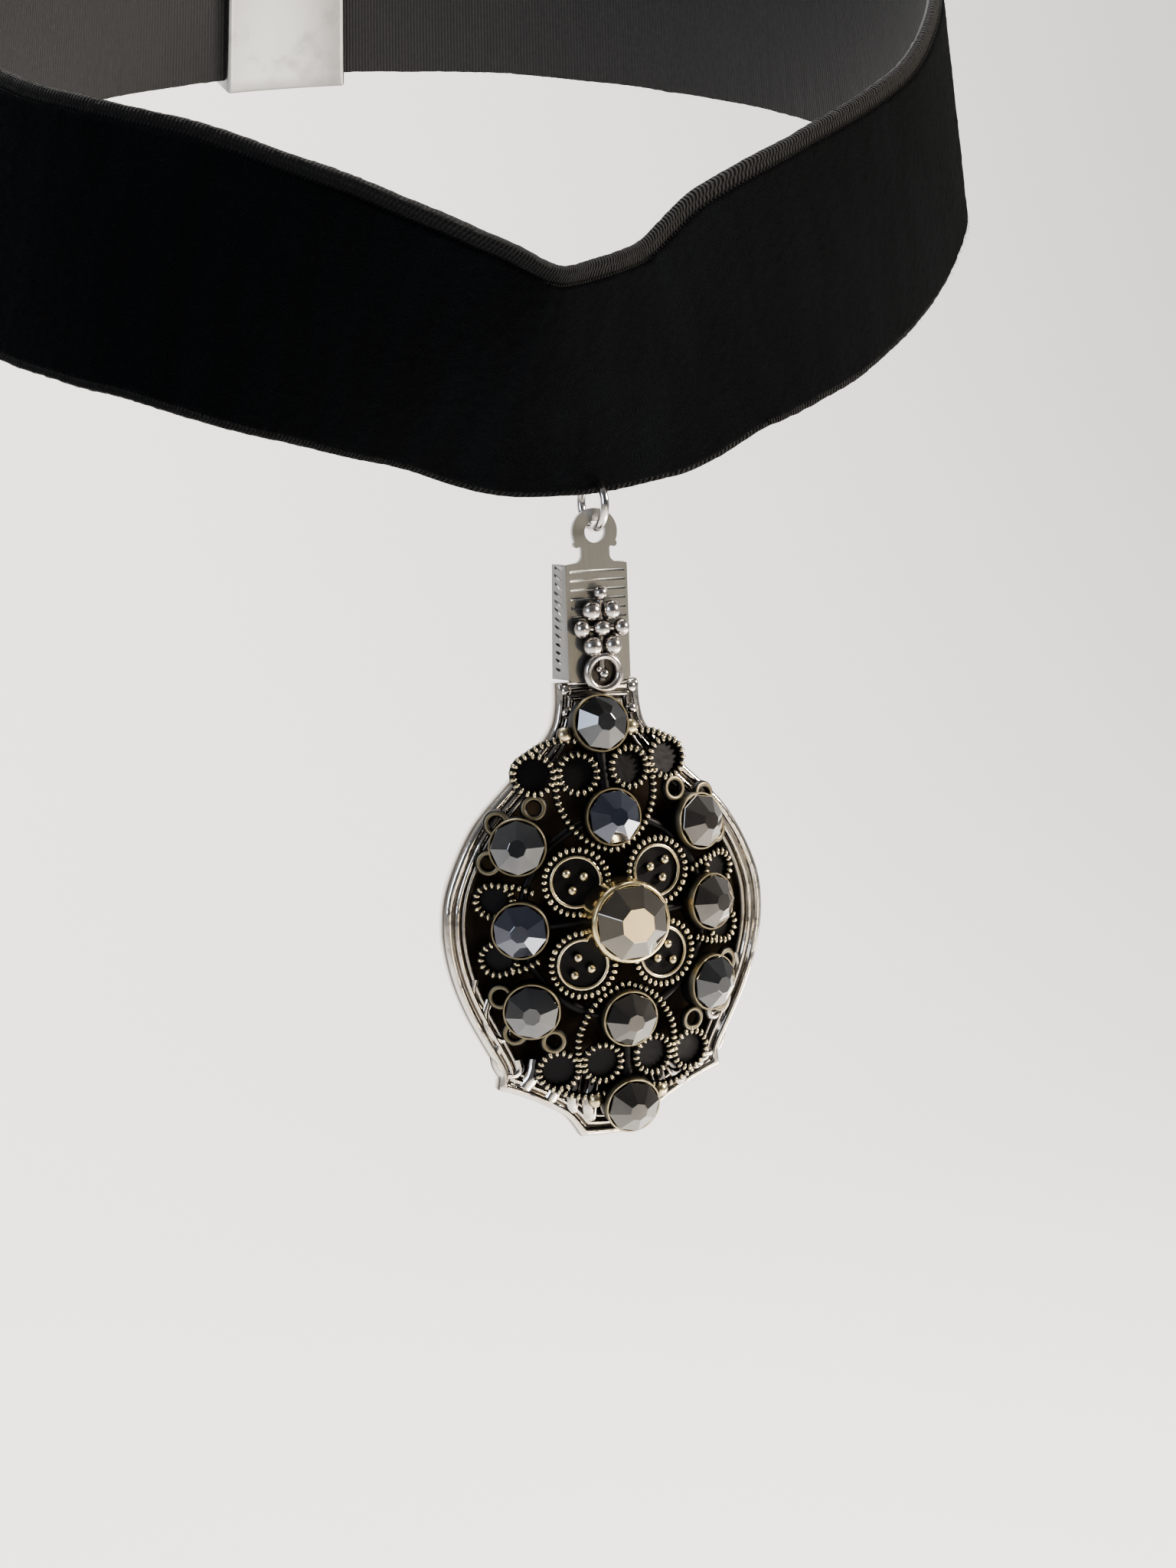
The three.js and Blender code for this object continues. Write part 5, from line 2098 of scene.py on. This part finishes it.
@dataclass
class Stones:
    """The eleven dark stones, each with a flat table and eight facets down to its girdle."""

    dome: FiligreeDome
    small_lift: float = 1.8
    centre_lift: float = 3.5
    small_table: float = 0.34
    small_crown: float = 1.2
    small_girdle: float = 0.2
    centre_gap: float = 0.1
    centre_table: float = 0.47
    centre_crown: float = 1.6
    centre_girdle: float = 0.29
    centre_twist: float = 22.5

    def finishes(self) -> dict[str, StoneFinish]:
        """Return the slightly different casts of colour."""
        return {
            "grey": StoneFinish("hematite_grey", (0.024, 0.026, 0.031), (0.052, 0.053, 0.058)),
            "blue": StoneFinish("hematite_blue", (0.018, 0.023, 0.042), (0.038, 0.044, 0.072)),
            "warm": StoneFinish("hematite_warm", (0.040, 0.036, 0.033), (0.080, 0.070, 0.062)),
            "centre": StoneFinish("hematite_centre", (0.060, 0.052, 0.042), (0.10, 0.085, 0.064)),
        }

    def facet(self, name: str, cut: Cut) -> Piece:
        """Cut one stone: an octagonal table, eight crown facets, a girdle and a pavilion.

        Args:
            name: Name of the stone.
            cut: Its proportions.

        Returns:
            The stone at the origin.
        """
        radius = cut.diameter / 2
        bpy.ops.object.select_all(action="DESELECT")
        bpy.ops.mesh.primitive_cylinder_add(vertices=8, radius=radius, depth=cut.girdle, end_fill_type="NGON")
        stone = newest(name)
        turn = Matrix.Rotation(math.radians(cut.twist), 4, "Z")
        bake_place(stone, Matrix.Translation((0, 0, cut.girdle / 2)) @ turn)
        for side, rise, share in ((1, cut.crown, cut.table), (-1, -cut.crown * 0.8, 0.45)):
            select_faces(stone, lambda face: face.normal.z * side > 0.9)
            select_only(stone)
            bpy.ops.object.mode_set(mode="EDIT")
            bpy.ops.mesh.select_mode(type="FACE")
            bpy.ops.mesh.extrude_region_move(TRANSFORM_OT_translate={"value": (0, 0, rise)})
            bpy.ops.transform.resize(value=(share, share, 1), center_override=(0, 0, rise))
            bpy.ops.object.mode_set(mode="OBJECT")
        apply_modifier(stone, "BEVEL", width=radius * 0.012, segments=1, limit_method="ANGLE")
        return stone

    def make(self) -> list[Piece]:
        """Cut, set and dress every stone."""
        casts = {name: finish.material() for name, finish in self.finishes().items()}
        order = ("grey", "blue", "grey", "warm", "blue", "warm", "grey", "grey", "warm", "warm")
        pieces = []
        for index, (seat, cast) in enumerate(zip(self.dome.seats(), order)):
            twist = 8 + 17 * (index % 3)
            cut_of = Cut(self.dome.small_stone, self.small_table, self.small_crown, self.small_girdle, twist)
            place = self.dome.place() @ self.dome.stand(seat.x, seat.y, self.small_lift)
            pieces.append(self.set_stone(seat.node, cut_of, place, casts[cast]))
        across = self.dome.centre_stone - self.centre_gap
        centre = Cut(across, self.centre_table, self.centre_crown, self.centre_girdle, self.centre_twist)
        place = self.dome.place() @ self.dome.stand(0, 0, self.centre_lift)
        pieces.append(self.set_stone("stone_centre", centre, place, casts["centre"]))
        return pieces

    def set_stone(self, node: str, cut_of: Cut, place: Matrix, cast: bpy.types.Material) -> Piece:
        """Cut one stone, put it in its seat and dress it.

        Args:
            node: CAD node that it replaces.
            cut_of: Its proportions.
            place: Its seat.
            cast: Its finish.

        Returns:
            The stone.
        """
        stone = self.facet("cut_" + node, cut_of)
        bake_place(stone, place)
        stone.data.materials.append(cast)
        return hand_over(stone, Body.PENDANT, Slot.CRYSTAL, node)


# Stage, light and camera


@dataclass
class Studio:
    """Pale sweep, soft lights and the camera at the photograph's angle."""

    azimuth: float = -20.0
    elevation: float = 8.0
    roll: float = -2.0
    target: tuple[float, float, float] = (-3.41, -55.0, -54.56)
    distance: float = 280.0
    focal: float = 4141.0
    picture_height: float = 2048.0
    floor: float = -230.0
    wall: float = 850.0
    front: float = -3200.0

    def sweep(self) -> Piece:
        """Build the floor that curves up into a wall."""
        bpy.ops.object.select_all(action="DESELECT")
        bpy.ops.mesh.primitive_plane_add(size=1)
        sweep = newest("pale_sweep")
        size, middle = self.wall - self.front, (self.wall + self.front) / 2
        bake_place(sweep, Matrix.Translation((0, middle, self.floor)) @ Matrix.Diagonal((5000, size, 1, 1)))
        select_only(sweep)
        bpy.ops.object.mode_set(mode="EDIT")
        bpy.ops.mesh.select_mode(type="EDGE")
        bpy.ops.mesh.select_all(action="DESELECT")
        bpy.ops.object.mode_set(mode="OBJECT")
        for edge in sweep.data.edges:
            edge.select = all(sweep.data.vertices[i].co.y > 0 for i in edge.vertices)
        bpy.ops.object.mode_set(mode="EDIT")
        bpy.ops.mesh.extrude_region_move(TRANSFORM_OT_translate={"value": (0, 0, 1400)})
        bpy.ops.object.mode_set(mode="OBJECT")
        apply_modifier(sweep, "BEVEL", width=450, segments=32, limit_method="ANGLE")
        smooth(sweep, 60)
        bake_place(sweep, Matrix.Scale(MM, 4))
        sweep.data.materials.append(PlasterFinish().material())
        return sweep

    def area(
        self,
        name: str,
        place: Sequence[float],
        size: float,
        power: float,
        colour: Colour,
        towards: Sequence[float] | None = None,
    ) -> None:
        """Add a square soft light.

        Args:
            name: Plain name of the light.
            place: Where it stands, in millimetres.
            size: Length of its side, in millimetres.
            power: Watts.
            colour: Its colour.
            towards: What it points at, the pendant unless given.
        """
        data = bpy.data.lights.new(name, "AREA")
        data.size = size * MM
        data.energy = power
        data.color = colour
        light = bpy.data.objects.new(name, data)
        bpy.context.scene.collection.objects.link(light)
        light.location = Vector(place) * MM
        light.visible_camera = False
        aim = Vector(towards or self.target) * MM - light.location
        light.rotation_euler = aim.to_track_quat("-Z", "Y").to_euler()

    def world(self) -> None:
        """Give the world a soft pale dome, darker below the horizon."""
        world = bpy.data.worlds.new("soft_dome")
        world.use_nodes = True
        bpy.context.scene.world = world
        shade = Shading(world.node_tree)
        axes = shade.add("SeparateXYZ", {"Vector": shade.add("TexCoord").outputs["Generated"]})
        behind = shade.maths("MULTIPLY", axes.outputs["Y"], 0.75)
        above = shade.maths("MULTIPLY", axes.outputs["Z"], 0.2)
        position = shade.maths("ADD", shade.maths("ADD", behind, above), 0.5)
        share = shade.ramp(position, [(0.0, 0.0), (0.45, 0.25), (1.0, 1.0)])
        tint = shade.mix_colour(share, opaque((0.14, 0.148, 0.16)), opaque((1.0, 0.98, 0.95)))
        backdrop = world.node_tree.nodes["Background"]
        shade.feed(backdrop.inputs["Color"], tint)
        backdrop.inputs["Strength"].default_value = 0.8

    def camera(self) -> None:
        """Set the camera at the photograph's viewing angle."""
        turn, rise, roll = (math.radians(v) for v in (self.azimuth, self.elevation, self.roll))
        back = Vector((math.sin(turn) * math.cos(rise), -math.cos(turn) * math.cos(rise), math.sin(rise)))
        right = Vector((math.cos(turn), math.sin(turn), 0))
        up = back.cross(right)
        rolled_right = right * math.cos(roll) + up * math.sin(roll)
        rolled_up = up * math.cos(roll) - right * math.sin(roll)
        data = bpy.data.cameras.new("portrait")
        data.sensor_width = 36.0
        data.lens = self.focal / self.picture_height * data.sensor_width
        data.clip_start = 0.01
        camera = bpy.data.objects.new("portrait", data)
        bpy.context.scene.collection.objects.link(camera)
        axes = Matrix((rolled_right, rolled_up, back)).transposed().to_4x4()
        camera.matrix_world = Matrix.Translation((Vector(self.target) + back * self.distance) * MM) @ axes
        bpy.context.scene.camera = camera

    def make(self) -> None:
        """Set the stage."""
        self.sweep()
        self.world()
        self.area("warm_key", (390, -250, 130), 110, 8.5, (1.0, 0.90, 0.74))
        self.area("gold_card", (151, -446, -146), 50, 0.12, (1.0, 0.76, 0.40))
        self.area("low_side_card", (200, -43, -212), 110, 0.8, (1.0, 0.92, 0.78))
        self.area("low_front_card", (88, -138, -218), 90, 0.35, (1.0, 0.95, 0.84))
        self.area("cool_fill", (-420, -260, 60), 200, 1.4, (0.74, 0.85, 1.0))
        self.area("top_light", (40, 40, 480), 300, 5.0, (1.0, 0.96, 0.90))
        self.area("wall_wash", (-100, 250, 560), 420, 16.0, (1.0, 0.98, 0.95), (0, 850, -120))
        self.camera()


def main() -> None:
    """Load the frame, then build the stage and each sub-assembly in order."""
    logging.basicConfig(level=logging.INFO, format="%(name)s: %(message)s")
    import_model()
    Studio().make()
    loop = NeckLoop()
    VelvetRibbon(loop).make()
    BackClasp(loop).make()
    JumpRing().make()
    axes = PendantAxes()
    HangerTab(axes).make()
    GranuleCluster(axes).make()
    SpoonPlate(axes).make()
    dome = FiligreeDome(axes)
    Filigree(dome).make()
    Stones(dome).make()
    bpy.context.view_layer.update()


if __name__ == "__main__":
    main()
